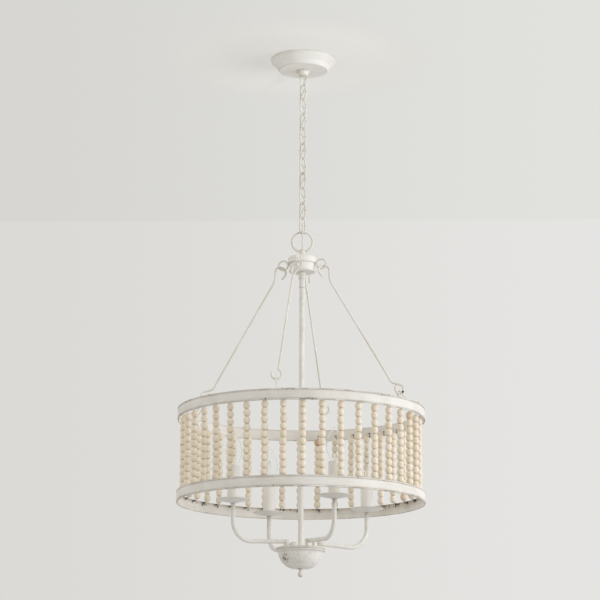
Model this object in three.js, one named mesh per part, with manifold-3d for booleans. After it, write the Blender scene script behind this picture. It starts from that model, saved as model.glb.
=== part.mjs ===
// Beaded drum chandelier on a chain: canopy, chain, hub, four hooked rods, a drum of two
// hoops with bead strings between them, and four candle arms on a centre stem.
// Millimetres, +Z up. The origin is the middle of the mounting strap's top face, on the ceiling.

import * as THREE from 'three';
import { mergeVertices } from 'three/addons/utils/BufferGeometryUtils.js';
import Module from 'manifold-3d';

const wasm = await Module();
wasm.setup();

// Clearance left between pieces that touch.
const SEAT_GAP = 0.3;
// How far one solid reaches into another before they are joined, or past it before it is cut.
const OVERRUN = 1;
// Corners closer than this are one corner.
const MERGE_DISTANCE = 1e-4;

// Canopy, strap and collar.
const CANOPY_R = 60;
const CANOPY_RIM_H = 6;
const CANOPY_H = 22.2;
const CANOPY_FACE_R = 45;
const CANOPY_WALL = 1.5;
const STRAP_END_GAP = 8.5;
const STRAP_W = 22;
const STRAP_T = 2.5;
const COLLAR_R = 10;
const COLLAR_H = 9.5;
const COLLAR_EDGE = 1.5;
const NIPPLE_R = 5;
const NIPPLE_BORE_R = 2.4;

// Chain.
const LINK_COUNT = 10;
const LINK_PITCH = 28.8;
const LINK_WIRE_R = 1.5;
const LINK_BEND_R = 6.5;
const LINK_SEAM = 0.4;
const CANOPY_LOOP_DROP = 17.9;
const ODD_LINK_AZIMUTH = 45;
const EVEN_LINK_AZIMUTH = 135;

// Supply cord, woven through the chain.
const CORD_R = 1.3;
const CORD_WEAVE = 5;
const CORD_STEPS_PER_LINK = 4;
const CORD_END_DEPTH = 8;

// Loop on top of the hub.
const LOOP_R = 19;
const LOOP_WIRE_R = 1.95;
const NUB_R = 5;
const NUB_BORE_R = 2;
const NUB_RISE = 5;
const NUB_DROP = 9.2;

// Hub with its four eyes.
const HUB_TOP_R = 26.5;
const HUB_SHOULDER_H = 13;
const HUB_BODY_R = 23.5;
const HUB_H = 29;
const HUB_FLANGE_R = 24.6;
const HUB_FLANGE_H = 2.6;
const HUB_ROUND = 5;
const EYE_R = 8.9;
const EYE_WIRE_R = 1.6;
const EYE_OUT_R = 36.2;
const EYE_DROP = 15;
const EYE_CONTACT_ANGLE = 32;

// Stem from the hub down to the finial.
const STEM_COLLAR_R = 6.5;
const STEM_COLLAR_H = 13;
const STEM_SLEEVE_R = 5.6;
const STEM_SLEEVE_H = 17;
const STEM_R = 5;

// Four hanging rods, hooked over the hub's eyes and into the drum's eyelets.
const ROD_WIRE_R = 2;
const ROD_HOOK_R = 8.8;
const ROD_HOOK_LIFT = 0.3;
const ROD_AZIMUTHS = [-14, 76, 166, 256];
const ROD_NAMES = ['front', 'right', 'rear', 'left'];
const ROD_HOOK_TURNS = [14, -46, 14, -46];
const DRUM_HOOK_INSET = 43;
const DRUM_HOOK_DROP = 263.7;

// Places on the upper hook, as shares of its radius: outward, sideways and up from its
// crossing over the eye's wire, from the free end to the start of the straight rod.
const UPPER_HOOK_SHARES = [
  [0.11, -0.47, -2.4],
  [-0.3, -0.62, -1.9],
  [-0.58, -0.68, -1.4],
  [-0.68, -0.68, -0.9],
  [-0.54, -0.5, -0.42],
  [-0.28, -0.28, -0.12],
  [0, 0, 0],
  [0.26, 0.26, 0.04],
  [0.52, 0.5, 0.02],
  [0.86, 0.62, -0.12],
  [1.14, 0.65, -0.42],
  [1.29, 0.65, -0.95],
  [1.32, 0.6, -2],
  [1.48, 0.54, -2.95],
  [1.88, 0.47, -3.81],
];
// The front rod's hook is bent wider sideways.
const FRONT_HOOK_SIDE_SHARES = [
  -1.1, -1.2, -1.22, -1.12, -0.75, -0.35, 0, 0.4, 0.82, 1.15, 1.32, 1.28, 0.3, -0.3, -0.5,
];
// The straight rod's lower end, from the drum hook's centre, in hook radii.
const ROD_END_OUT_SHARE = -1.65;
const ROD_END_UP_SHARE = 1.52;
const HOOK_NECK_OUT_SHARE = -0.8;
const HOOK_NECK_SIDE_SHARE = 0.2;
const HOOK_NECK_UP_SHARE = 1.14;
const HOOK_FIRST_ANGLE = 46;
const HOOK_LAST_ANGLE = -222;
const HOOK_STEPS = 10;

// Drum: two hoops and the bead strings between them.
const DRUM_R = 225;
const HOOP_WALL = 2;
const HOOP_H = 20.5;
const TOP_HOOP_DROP = 23.8;
const DRUM_GAP = 130.4;
const HOOP_SIDES = 48;
const EYELET_WIRE_R = 1.2;
const EYELET_HALF_W = 5;
const EYELET_TILT = 28;
const EYELET_TURNS = [14, -20, 14, -20];
const BEAD_STRINGS = 40;
const STRINGS_PER_CURTAIN = 5;
const STRING_INSET = 11;
const STRING_TUCK = 2;
const FIRST_STRING_AZIMUTH = 0.6;
const BEADS_PER_STRING = 10;
const BEAD_R = 6.35;
const BEAD_NECK_R = 3;
const STRING_WIRE_R = 0.8;
const STRING_TAIL_H = 5;

// Arms, drip pans, candle sleeves, sockets and bulbs.
const ARM_AZIMUTHS = [-64, 26, 116, 206];
const ARM_NAMES = ['front_left', 'front_right', 'rear_right', 'rear_left'];
const ARM_OUT_R = 134;
const ARM_TUBE_R = 4;
const ARM_BEND_R = 35;
const ARM_RUN_LIFT = 6.7;
const ARM_RISE = 3.5;
const ARM_FOOT_R = 28;
const ARM_FOOT_BEND_R = 6;
const FERRULE_R = 4.75;
const FERRULE_H = 9;
const SLEEVE_R = 11;
const SLEEVE_WALL = 1.5;
const SLEEVE_H = 60;
const SLEEVE_LIFT = 72;
const PAN_R = 30.5;
const PAN_RIM_RISE = 1.6;
const PAN_SEAT_R = 16;
const PAN_EDGE = 1.1;
const PAN_HUB_R = 9;
const PAN_DEPTH = 5.6;
const SOCKET_R = 9;
const SOCKET_BORE_R = 6.6;
const SOCKET_INSET = 6;
const SOCKET_BORE_DEPTH = 22;
const BULB_BASE_R = 6;
const BULB_R = 15.5;
const BULB_H = 63;

// Arm plate, bowl and finial.
const PLATE_R = 45;
const PLATE_T = 4;
const PLATE_DROP = 509.7;
const BOWL_R = 42.5;
const BOWL_LIP = 2.2;
const BOWL_DEPTH = 32.5;
const BOWL_FLOOR_R = 20;
const BOWL_WALL = 1.6;
const FINIAL_NECK_R = 3;
const FINIAL_NECK_H = 5;
const FINIAL_BALL_R = 5;

// Facets of round pieces.
const WIRE_SIDES = 5;
const CORD_SIDES = 8;
const BEAD_SIDES = 4;
const STRING_WIRE_SIDES = 3;
const BEND_STEPS = 6;
const SMALL_ROUND = 10;
const MEDIUM_ROUND = 18;
const LARGE_ROUND = 30;

// Places that follow from the sizes above.
const STRAP_L = 2 * (CANOPY_R - CANOPY_WALL - STRAP_END_GAP);
const COLLAR_TOP_Z = -CANOPY_H - SEAT_GAP;
const COLLAR_BOTTOM_Z = COLLAR_TOP_Z - COLLAR_H;
const LINK_SEAT = LINK_WIRE_R + SEAT_GAP / 2;
const CHAIN_TOP_Z = COLLAR_BOTTOM_Z - CANOPY_LOOP_DROP;
const CHAIN_BOTTOM_Z = CHAIN_TOP_Z - LINK_COUNT * LINK_PITCH;
const LOOP_TOP_Z = CHAIN_BOTTOM_Z - LINK_SEAT + LINK_WIRE_R + SEAT_GAP + LOOP_WIRE_R;
const LOOP_CENTRE_Z = LOOP_TOP_Z - LOOP_R;
const LOOP_BOTTOM_Z = LOOP_CENTRE_Z - LOOP_R;
const HUB_TOP_Z = LOOP_BOTTOM_Z - NUB_DROP;
const HUB_BOTTOM_Z = HUB_TOP_Z - HUB_H;
const EYE_Z = HUB_TOP_Z - EYE_DROP;
const STEM_COLLAR_TOP_Z = HUB_BOTTOM_Z - SEAT_GAP;
const STEM_SLEEVE_TOP_Z = STEM_COLLAR_TOP_Z - STEM_COLLAR_H;
const STEM_TOP_Z = STEM_SLEEVE_TOP_Z - STEM_SLEEVE_H;
const DRUM_HOOK_R = DRUM_R - DRUM_HOOK_INSET;
const DRUM_HOOK_Z = HUB_TOP_Z - DRUM_HOOK_DROP;
const HOOK_CENTRE_Z = DRUM_HOOK_Z + ROD_HOOK_R;
const TOP_HOOP_Z = DRUM_HOOK_Z - TOP_HOOP_DROP;
const TOP_HOOP_BOTTOM_Z = TOP_HOOP_Z - HOOP_H;
const BOTTOM_HOOP_Z = TOP_HOOP_BOTTOM_Z - DRUM_GAP;
const HOOP_IN_R = DRUM_R - HOOP_WALL;
const STRING_CIRCLE_R = DRUM_R - STRING_INSET;
const STRING_TOP_Z = TOP_HOOP_BOTTOM_Z + STRING_TUCK;
const STRING_SEAT_R = HOOP_IN_R - SEAT_GAP - STRING_WIRE_R;
const PLATE_TOP_Z = HUB_BOTTOM_Z - PLATE_DROP;
const ARM_RUN_Z = PLATE_TOP_Z + ARM_RUN_LIFT;
const SLEEVE_BOTTOM_Z = ARM_RUN_Z + SLEEVE_LIFT;
const SLEEVE_TOP_Z = SLEEVE_BOTTOM_Z + SLEEVE_H;
const BULB_TIP_Z = SLEEVE_TOP_Z + BULB_H;
const PAN_TOP_Z = SLEEVE_BOTTOM_Z - SEAT_GAP;
const PAN_BOTTOM_Z = PAN_TOP_Z - PAN_DEPTH;
const ARM_TOP_Z = PAN_BOTTOM_Z - SEAT_GAP;
const ARM_BOTTOM_Z = PLATE_TOP_Z + SEAT_GAP;
const BOWL_TOP_Z = PLATE_TOP_Z - PLATE_T - SEAT_GAP;
const BOWL_BOTTOM_Z = BOWL_TOP_Z - BOWL_DEPTH;
const STEM_BOTTOM_Z = BOWL_BOTTOM_Z + BOWL_WALL + SEAT_GAP;
const SOCKET_TOP_Z = SLEEVE_TOP_Z - SOCKET_INSET;
const SOCKET_FLOOR_Z = SOCKET_TOP_Z - SOCKET_BORE_DEPTH;

const radians = (degrees) => THREE.MathUtils.degToRad(degrees);

// Azimuths run from -Y towards +X; a piece built along +X is turned to one by this angle.
const turnTo = (azimuth) => radians(azimuth - 90);

// A path that a tube follows point by point.
class WirePath extends THREE.CatmullRomCurve3 {
  getUtoTmapping(u) {
    return u;
  }
}

function circleShape(radius, sides) {
  const points = [];
  for (let i = 0; i < sides; i++) {
    const angle = (2 * Math.PI * i) / sides;
    points.push(new THREE.Vector2(radius * Math.cos(angle), radius * Math.sin(angle)));
  }
  return new THREE.Shape(points);
}

function wire(points, radius, sides = WIRE_SIDES) {
  const path = new WirePath(points.map(([x, y, z]) => new THREE.Vector3(x, y, z)));
  return new THREE.ExtrudeGeometry(circleShape(radius, sides), {
    steps: points.length - 1,
    extrudePath: path,
  });
}

// Turns an outline of [radius, height] pairs round the Z axis.
function turned(outline, segments) {
  const points = outline.map(([radius, height]) => new THREE.Vector2(radius, height));
  const geometry = new THREE.LatheGeometry(points, segments);
  geometry.rotateX(Math.PI / 2);
  return geometry;
}

// The same for a ring, whose outline closes on itself.
function turnedRing(outline, segments) {
  return turned([...outline, outline[0]], segments);
}

function toManifold(geometry) {
  const bare = new THREE.BufferGeometry();
  bare.setAttribute('position', geometry.getAttribute('position').clone());
  if (geometry.index) {
    bare.setIndex(geometry.index.clone());
  }
  const merged = mergeVertices(bare, MERGE_DISTANCE);
  const corners = [];
  for (let i = 0; i < merged.index.count; i += 3) {
    const a = merged.index.getX(i);
    const b = merged.index.getX(i + 1);
    const c = merged.index.getX(i + 2);
    if (a !== b && b !== c && c !== a) {
      corners.push(a, b, c);
    }
  }
  return new wasm.Manifold(
    new wasm.Mesh({
      numProp: 3,
      vertProperties: new Float32Array(merged.getAttribute('position').array),
      triVerts: new Uint32Array(corners),
    }),
  );
}

function fromManifold(solid) {
  const mesh = solid.getMesh();
  const geometry = new THREE.BufferGeometry();
  geometry.setAttribute('position', new THREE.BufferAttribute(mesh.vertProperties, 3));
  geometry.setIndex(new THREE.BufferAttribute(mesh.triVerts, 1));
  geometry.computeVertexNormals();
  return geometry;
}

function joined(geometries) {
  let solid = toManifold(geometries[0]);
  for (const geometry of geometries.slice(1)) {
    solid = solid.add(toManifold(geometry));
  }
  return fromManifold(solid);
}

function cut(geometry, tool) {
  return fromManifold(toManifold(geometry).subtract(toManifold(tool)));
}

const whitePaint = () => new THREE.MeshStandardMaterial({
  color: 0xe8e5df,
  roughness: 0.75,
  metalness: 0.05,
});

const beadWood = () => new THREE.MeshStandardMaterial({
  color: 0xe9dcc4,
  roughness: 0.6,
  metalness: 0,
});

const candlePlastic = () => new THREE.MeshStandardMaterial({
  color: 0xf0ece2,
  roughness: 0.5,
  metalness: 0,
});

const socketPlastic = () => new THREE.MeshStandardMaterial({
  color: 0xd9d4c6,
  roughness: 0.45,
  metalness: 0,
});

const bulbGlass = () => new THREE.MeshStandardMaterial({
  color: 0xf4f6f5,
  roughness: 0.05,
  metalness: 0,
  transparent: true,
  opacity: 0.3,
});

const cordPlastic = () => new THREE.MeshStandardMaterial({
  color: 0xe6e4da,
  roughness: 0.35,
  metalness: 0,
});

const strapSteel = () => new THREE.MeshStandardMaterial({
  color: 0xb9b9b4,
  roughness: 0.4,
  metalness: 0.9,
});

const chandelier = new THREE.Group();

function place(name, geometry, material, azimuth) {
  const mesh = new THREE.Mesh(geometry, material);
  mesh.name = name;
  if (azimuth !== undefined) {
    mesh.rotation.z = turnTo(azimuth);
  }
  chandelier.add(mesh);
}

// Canopy: a shallow dish, open towards the ceiling, with a hole for the nipple.
function canopyGeometry() {
  const holeR = NIPPLE_R + SEAT_GAP;
  return turnedRing([
    [holeR, -CANOPY_H],
    [CANOPY_FACE_R, -CANOPY_H],
    [(CANOPY_FACE_R + CANOPY_R) / 2, -(CANOPY_H + CANOPY_RIM_H) / 2 - CANOPY_WALL],
    [CANOPY_R, -CANOPY_RIM_H],
    [CANOPY_R, 0],
    [CANOPY_R - CANOPY_WALL, 0],
    [CANOPY_R - CANOPY_WALL, -CANOPY_RIM_H],
    [CANOPY_FACE_R - CANOPY_WALL, -CANOPY_H + CANOPY_WALL],
    [holeR, -CANOPY_H + CANOPY_WALL],
  ], LARGE_ROUND);
}

// Strap across the ceiling box, inside the canopy.
function strapGeometry() {
  const geometry = new THREE.BoxGeometry(STRAP_L, STRAP_W, STRAP_T);
  geometry.translate(0, 0, -STRAP_T / 2);
  return geometry;
}

// Collar nut under the canopy, with its hollow nipple up to the strap.
function collarGeometry() {
  return turnedRing([
    [NIPPLE_BORE_R, COLLAR_BOTTOM_Z],
    [COLLAR_R - COLLAR_EDGE, COLLAR_BOTTOM_Z],
    [COLLAR_R, COLLAR_BOTTOM_Z + COLLAR_EDGE],
    [COLLAR_R, COLLAR_TOP_Z],
    [NIPPLE_R, COLLAR_TOP_Z],
    [NIPPLE_R, -STRAP_T - SEAT_GAP],
    [NIPPLE_BORE_R, -STRAP_T - SEAT_GAP],
  ], SMALL_ROUND);
}

// Half a turn of wire in the XZ plane, from one side to the other.
function bend(centreZ, radius, firstAngle) {
  const points = [];
  for (let i = 0; i <= BEND_STEPS; i++) {
    const angle = firstAngle + (Math.PI * i) / BEND_STEPS;
    points.push([radius * Math.cos(angle), 0, centreZ + radius * Math.sin(angle)]);
  }
  return points;
}

// Loop under the collar: a U of chain wire, open towards the collar.
function canopyLoopGeometry() {
  const legTop = COLLAR_BOTTOM_Z - SEAT_GAP;
  const bendZ = CHAIN_TOP_Z - LINK_SEAT + LINK_BEND_R;
  return wire([
    [-LINK_BEND_R, 0, legTop],
    ...bend(bendZ, LINK_BEND_R, Math.PI),
    [LINK_BEND_R, 0, legTop],
  ], LINK_WIRE_R);
}

// Chain link hung at the given height: bent wire whose ends meet at a seam in one leg.
function linkGeometry(topZ) {
  const highZ = topZ + LINK_SEAT - LINK_BEND_R;
  const lowZ = topZ - LINK_PITCH - LINK_SEAT + LINK_BEND_R;
  const middleZ = (highZ + lowZ) / 2;
  return wire([
    [LINK_BEND_R, 0, middleZ + LINK_SEAM / 2],
    ...bend(highZ, LINK_BEND_R, 0),
    ...bend(lowZ, LINK_BEND_R, Math.PI),
    [LINK_BEND_R, 0, middleZ - LINK_SEAM / 2],
  ], LINK_WIRE_R);
}

// Supply cord: from the nipple, side to side past each pair of links, into the hub's nub.
function cordGeometry() {
  const points = [[0, 0, -STRAP_T - CORD_END_DEPTH], [0, 0, COLLAR_TOP_Z], [0, 0, COLLAR_BOTTOM_Z]];
  const steps = LINK_COUNT * CORD_STEPS_PER_LINK;
  for (let i = -1; i <= steps + 1; i++) {
    const swing = CORD_WEAVE * Math.cos((Math.PI * i) / CORD_STEPS_PER_LINK);
    const nearLoop = i > steps - CORD_STEPS_PER_LINK / 2;
    const z = CHAIN_TOP_Z - (LINK_PITCH * i) / CORD_STEPS_PER_LINK;
    points.push(nearLoop ? [0, -swing, z] : [swing, 0, z]);
  }
  const inLoopZ = CHAIN_BOTTOM_Z - LINK_PITCH / 2;
  points.push([0, 0, inLoopZ], [0, 0, LOOP_BOTTOM_Z + NUB_RISE], [0, 0, LOOP_BOTTOM_Z]);
  return wire(points, CORD_R, CORD_SIDES);
}

// Big loop on the hub, with its nub drilled for the cord.
function hangingLoopGeometry() {
  const ring = new THREE.TorusGeometry(LOOP_R, LOOP_WIRE_R, WIRE_SIDES, MEDIUM_ROUND);
  ring.rotateX(Math.PI / 2);
  ring.translate(0, 0, LOOP_CENTRE_Z);
  const nubTop = LOOP_BOTTOM_Z + NUB_RISE;
  const nub = turned([
    [0, HUB_TOP_Z + SEAT_GAP],
    [NUB_R, HUB_TOP_Z + SEAT_GAP],
    [NUB_R, nubTop],
    [0, nubTop],
  ], SMALL_ROUND);
  const bore = turned([
    [0, LOOP_BOTTOM_Z - NUB_BORE_R],
    [NUB_BORE_R, LOOP_BOTTOM_Z - NUB_BORE_R],
    [NUB_BORE_R, nubTop + OVERRUN],
    [0, nubTop + OVERRUN],
  ], CORD_SIDES);
  return cut(joined([ring, nub]), bore);
}

function hubGeometry() {
  return turned([
    [0, HUB_BOTTOM_Z],
    [HUB_FLANGE_R, HUB_BOTTOM_Z],
    [HUB_FLANGE_R, HUB_BOTTOM_Z + HUB_FLANGE_H],
    [HUB_BODY_R, HUB_BOTTOM_Z + HUB_FLANGE_H],
    [HUB_BODY_R, HUB_TOP_Z - HUB_SHOULDER_H],
    [HUB_TOP_R, HUB_TOP_Z - HUB_SHOULDER_H],
    [HUB_TOP_R, HUB_TOP_Z - HUB_ROUND],
    [HUB_TOP_R - HUB_ROUND / 3, HUB_TOP_Z - HUB_ROUND / 3],
    [HUB_TOP_R - HUB_ROUND, HUB_TOP_Z],
    [0, HUB_TOP_Z],
  ], MEDIUM_ROUND);
}

// Eye on the hub's side: a ring in the radial plane on a short shank.
function eyeGeometry() {
  const ring = new THREE.TorusGeometry(EYE_R, EYE_WIRE_R, WIRE_SIDES, SMALL_ROUND);
  ring.rotateX(Math.PI / 2);
  ring.translate(EYE_OUT_R, 0, EYE_Z);
  const shank = wire([
    [HUB_BODY_R + SEAT_GAP, 0, EYE_Z],
    [EYE_OUT_R - EYE_R, 0, EYE_Z],
  ], EYE_WIRE_R);
  return joined([ring, shank]);
}

function stemCollarGeometry() {
  return turned([
    [0, STEM_TOP_Z + SEAT_GAP],
    [STEM_SLEEVE_R, STEM_TOP_Z + SEAT_GAP],
    [STEM_SLEEVE_R, STEM_SLEEVE_TOP_Z],
    [STEM_COLLAR_R, STEM_SLEEVE_TOP_Z],
    [STEM_COLLAR_R, STEM_COLLAR_TOP_Z],
    [0, STEM_COLLAR_TOP_Z],
  ], SMALL_ROUND);
}

function stemGeometry() {
  return turned([
    [0, STEM_BOTTOM_Z],
    [STEM_R, STEM_BOTTOM_Z],
    [STEM_R, STEM_TOP_Z],
    [0, STEM_TOP_Z],
  ], SMALL_ROUND);
}

// Hanging rod along +X: upper hook, straight run, and a hook that turns round the eyelet.
function rodGeometry(hookTurn, sideShares) {
  const contact = radians(EYE_CONTACT_ANGLE);
  const reach = EYE_R - EYE_WIRE_R - ROD_WIRE_R - SEAT_GAP - ROD_HOOK_LIFT;
  const crossR = EYE_OUT_R + reach * Math.sin(contact);
  const crossZ = EYE_Z - reach * Math.cos(contact);
  const points = UPPER_HOOK_SHARES.map(([out, side, up], i) => [
    crossR + out * ROD_HOOK_R,
    (sideShares ? sideShares[i] : side) * ROD_HOOK_R,
    crossZ + up * ROD_HOOK_R,
  ]);
  const outward = (side) => DRUM_HOOK_R - side * Math.sin(hookTurn);
  const neckSide = HOOK_NECK_SIDE_SHARE * ROD_HOOK_R;
  points.push(
    [DRUM_HOOK_R + ROD_END_OUT_SHARE * ROD_HOOK_R, 0, HOOK_CENTRE_Z + ROD_END_UP_SHARE * ROD_HOOK_R],
    [
      outward(neckSide) + HOOK_NECK_OUT_SHARE * ROD_HOOK_R,
      neckSide * Math.cos(hookTurn),
      HOOK_CENTRE_Z + HOOK_NECK_UP_SHARE * ROD_HOOK_R,
    ],
  );
  for (let i = 0; i <= HOOK_STEPS; i++) {
    const angle = radians(HOOK_FIRST_ANGLE + ((HOOK_LAST_ANGLE - HOOK_FIRST_ANGLE) * i) / HOOK_STEPS);
    const side = ROD_HOOK_R * Math.cos(angle);
    points.push([
      outward(side),
      side * Math.cos(hookTurn),
      HOOK_CENTRE_Z + ROD_HOOK_R * Math.sin(angle),
    ]);
  }
  return wire(points, ROD_WIRE_R);
}

function hoopGeometry(topZ) {
  return turnedRing([
    [HOOP_IN_R, topZ - HOOP_H],
    [DRUM_R, topZ - HOOP_H],
    [DRUM_R, topZ],
    [HOOP_IN_R, topZ],
  ], HOOP_SIDES);
}

// Eyelet: a narrow wire loop from the top hoop, inward and up round a rod's hook. It is built
// from the hook along +X, then turned to meet the hoop beside the rod's own azimuth.
function eyeletGeometry(azimuth, eyeletTurn, hookTurn) {
  const tilt = radians(EYELET_TILT);
  const along = new THREE.Vector2(Math.cos(tilt), -Math.sin(tilt));
  const across = new THREE.Vector2(Math.sin(tilt), Math.cos(tilt));
  const seat = (ROD_WIRE_R + EYELET_WIRE_R + SEAT_GAP) / Math.cos(hookTurn - eyeletTurn);
  const back = EYELET_HALF_W - seat;
  const point = (distance, offset) => [
    (back + distance) * along.x + offset * across.x,
    0,
    DRUM_HOOK_Z + (back + distance) * along.y + offset * across.y,
  ];
  const weldR = (DRUM_R + HOOP_IN_R) / 2;
  const reach = Math.sqrt(weldR ** 2 - (DRUM_HOOK_R * Math.sin(eyeletTurn)) ** 2)
    - DRUM_HOOK_R * Math.cos(eyeletTurn);
  const weldZ = TOP_HOOP_Z - 2 * EYELET_WIRE_R;
  const length = reach / along.x - back;
  const points = [
    [reach, 0, weldZ - 2 * EYELET_WIRE_R],
    point(length - 2 * EYELET_HALF_W, -EYELET_HALF_W),
  ];
  for (let i = 0; i <= BEND_STEPS; i++) {
    const angle = -Math.PI / 2 - (Math.PI * i) / BEND_STEPS;
    points.push(point(EYELET_HALF_W * Math.cos(angle), EYELET_HALF_W * Math.sin(angle)));
  }
  points.push(point(length - 2 * EYELET_HALF_W, EYELET_HALF_W), [reach, 0, weldZ]);
  const geometry = wire(points, EYELET_WIRE_R);
  geometry.rotateZ(eyeletTurn);
  geometry.translate(DRUM_HOOK_R, 0, 0);
  geometry.rotateZ(turnTo(azimuth));
  return geometry;
}

function topHoopGeometry() {
  const eyelets = ROD_AZIMUTHS.map((azimuth, i) =>
    eyeletGeometry(azimuth, radians(EYELET_TURNS[i]), radians(ROD_HOOK_TURNS[i])));
  return joined([hoopGeometry(TOP_HOOP_Z), ...eyelets]);
}

// One string of beads along +X, with the tails that reach the hoops' inner faces.
function stringGeometries(azimuth) {
  const pitch = (STRING_TOP_Z - BOTTOM_HOOP_Z) / BEADS_PER_STRING;
  const outline = [[0, BOTTOM_HOOP_Z], [BEAD_NECK_R, BOTTOM_HOOP_Z]];
  for (let i = 0; i < BEADS_PER_STRING; i++) {
    const beadZ = BOTTOM_HOOP_Z + i * pitch;
    outline.push([BEAD_R, beadZ + pitch / 2], [BEAD_NECK_R, beadZ + pitch]);
  }
  outline.push([0, STRING_TOP_Z]);
  const beads = turned(outline, BEAD_SIDES);
  beads.translate(STRING_CIRCLE_R, 0, 0);
  const upper = wire([
    [STRING_CIRCLE_R, 0, STRING_TOP_Z - OVERRUN],
    [STRING_SEAT_R, 0, TOP_HOOP_BOTTOM_Z + STRING_TAIL_H],
  ], STRING_WIRE_R, STRING_WIRE_SIDES);
  const lower = wire([
    [STRING_CIRCLE_R, 0, BOTTOM_HOOP_Z + OVERRUN],
    [STRING_SEAT_R, 0, BOTTOM_HOOP_Z - STRING_TAIL_H],
  ], STRING_WIRE_R, STRING_WIRE_SIDES);
  return [beads, upper, lower].map((geometry) => geometry.rotateZ(turnTo(azimuth)));
}

// Curtain: strings tied to one stringing wire that lies against the top hoop's inner face.
function curtainGeometry(index) {
  const spacing = 360 / BEAD_STRINGS;
  const first = FIRST_STRING_AZIMUTH + index * STRINGS_PER_CURTAIN * spacing;
  const solids = [];
  const wirePoints = [];
  for (let i = 0; i < STRINGS_PER_CURTAIN; i++) {
    const azimuth = first + i * spacing;
    solids.push(...stringGeometries(azimuth));
    wirePoints.push([
      STRING_SEAT_R * Math.cos(turnTo(azimuth)),
      STRING_SEAT_R * Math.sin(turnTo(azimuth)),
      TOP_HOOP_BOTTOM_Z + STRING_TAIL_H,
    ]);
  }
  return joined([...solids, wire(wirePoints, STRING_WIRE_R, STRING_WIRE_SIDES)]);
}

// Candle arm along +X: down from the pan, round a wide bend, inward, and down to the plate.
function armGeometry() {
  const bendZ = ARM_RUN_Z + ARM_BEND_R;
  const bendR = ARM_OUT_R - ARM_BEND_R;
  const points = [[ARM_OUT_R, 0, ARM_TOP_Z]];
  for (let i = 0; i <= BEND_STEPS; i++) {
    const angle = (-Math.PI / 2) * (i / BEND_STEPS);
    points.push([bendR + ARM_BEND_R * Math.cos(angle), 0, bendZ + ARM_BEND_R * Math.sin(angle)]);
  }
  const footZ = ARM_RUN_Z + ARM_RISE - ARM_FOOT_BEND_R;
  for (let i = 0; i <= BEND_STEPS / 2; i++) {
    const angle = Math.PI / 2 + (Math.PI * i) / BEND_STEPS;
    points.push([
      ARM_FOOT_R + ARM_FOOT_BEND_R + ARM_FOOT_BEND_R * Math.cos(angle),
      0,
      footZ + ARM_FOOT_BEND_R * Math.sin(angle),
    ]);
  }
  points.push([ARM_FOOT_R, 0, ARM_BOTTOM_Z]);
  const ferrule = turned([
    [0, ARM_BOTTOM_Z],
    [FERRULE_R, ARM_BOTTOM_Z],
    [FERRULE_R, ARM_BOTTOM_Z + FERRULE_H],
    [0, ARM_BOTTOM_Z + FERRULE_H],
  ], SMALL_ROUND);
  ferrule.translate(ARM_FOOT_R, 0, 0);
  return joined([wire(points, ARM_TUBE_R, CORD_SIDES), ferrule]);
}

// The pan, sleeve, socket and bulb stand on the arm's end, ARM_OUT_R along +X.
function onArm(geometry) {
  geometry.translate(ARM_OUT_R, 0, 0);
  return geometry;
}

function panGeometry() {
  return onArm(turned([
    [0, PAN_BOTTOM_Z],
    [PAN_HUB_R, PAN_BOTTOM_Z],
    [PAN_R, PAN_TOP_Z + PAN_RIM_RISE - 2 * PAN_EDGE],
    [PAN_R, PAN_TOP_Z + PAN_RIM_RISE - PAN_EDGE],
    [PAN_R - PAN_EDGE, PAN_TOP_Z + PAN_RIM_RISE],
    [PAN_SEAT_R, PAN_TOP_Z],
    [0, PAN_TOP_Z],
  ], MEDIUM_ROUND));
}

function sleeveGeometry() {
  return onArm(turnedRing([
    [SLEEVE_R - SLEEVE_WALL, SLEEVE_BOTTOM_Z],
    [SLEEVE_R, SLEEVE_BOTTOM_Z],
    [SLEEVE_R, SLEEVE_TOP_Z],
    [SLEEVE_R - SLEEVE_WALL, SLEEVE_TOP_Z],
  ], SMALL_ROUND));
}

function socketGeometry() {
  return onArm(turned([
    [0, SLEEVE_BOTTOM_Z],
    [SOCKET_R, SLEEVE_BOTTOM_Z],
    [SOCKET_R, SOCKET_TOP_Z],
    [SOCKET_BORE_R, SOCKET_TOP_Z],
    [SOCKET_BORE_R, SOCKET_FLOOR_Z],
    [0, SOCKET_FLOOR_Z],
  ], SMALL_ROUND));
}

// Torpedo bulb: its screw base in the socket, and glass that swells and tapers to a tip.
function bulbGeometry() {
  const baseZ = SOCKET_FLOOR_Z + SEAT_GAP;
  const glassH = BULB_TIP_Z - SLEEVE_TOP_Z;
  const glassShares = [[0.52, 0.05], [0.84, 0.2], [1, 0.36], [0.92, 0.56], [0.62, 0.78], [0.26, 0.94]];
  return onArm(turned([
    [0, baseZ],
    [BULB_BASE_R, baseZ],
    [BULB_BASE_R, SLEEVE_TOP_Z - SOCKET_INSET / 2],
    ...glassShares.map(([radiusShare, heightShare]) => [
      radiusShare * BULB_R,
      SLEEVE_TOP_Z + heightShare * glassH,
    ]),
    [0, BULB_TIP_Z],
  ], SMALL_ROUND));
}

function plateGeometry() {
  const holeR = STEM_R + SEAT_GAP;
  return turnedRing([
    [holeR, PLATE_TOP_Z - PLATE_T],
    [PLATE_R, PLATE_TOP_Z - PLATE_T],
    [PLATE_R, PLATE_TOP_Z],
    [holeR, PLATE_TOP_Z],
  ], LARGE_ROUND);
}

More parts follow.
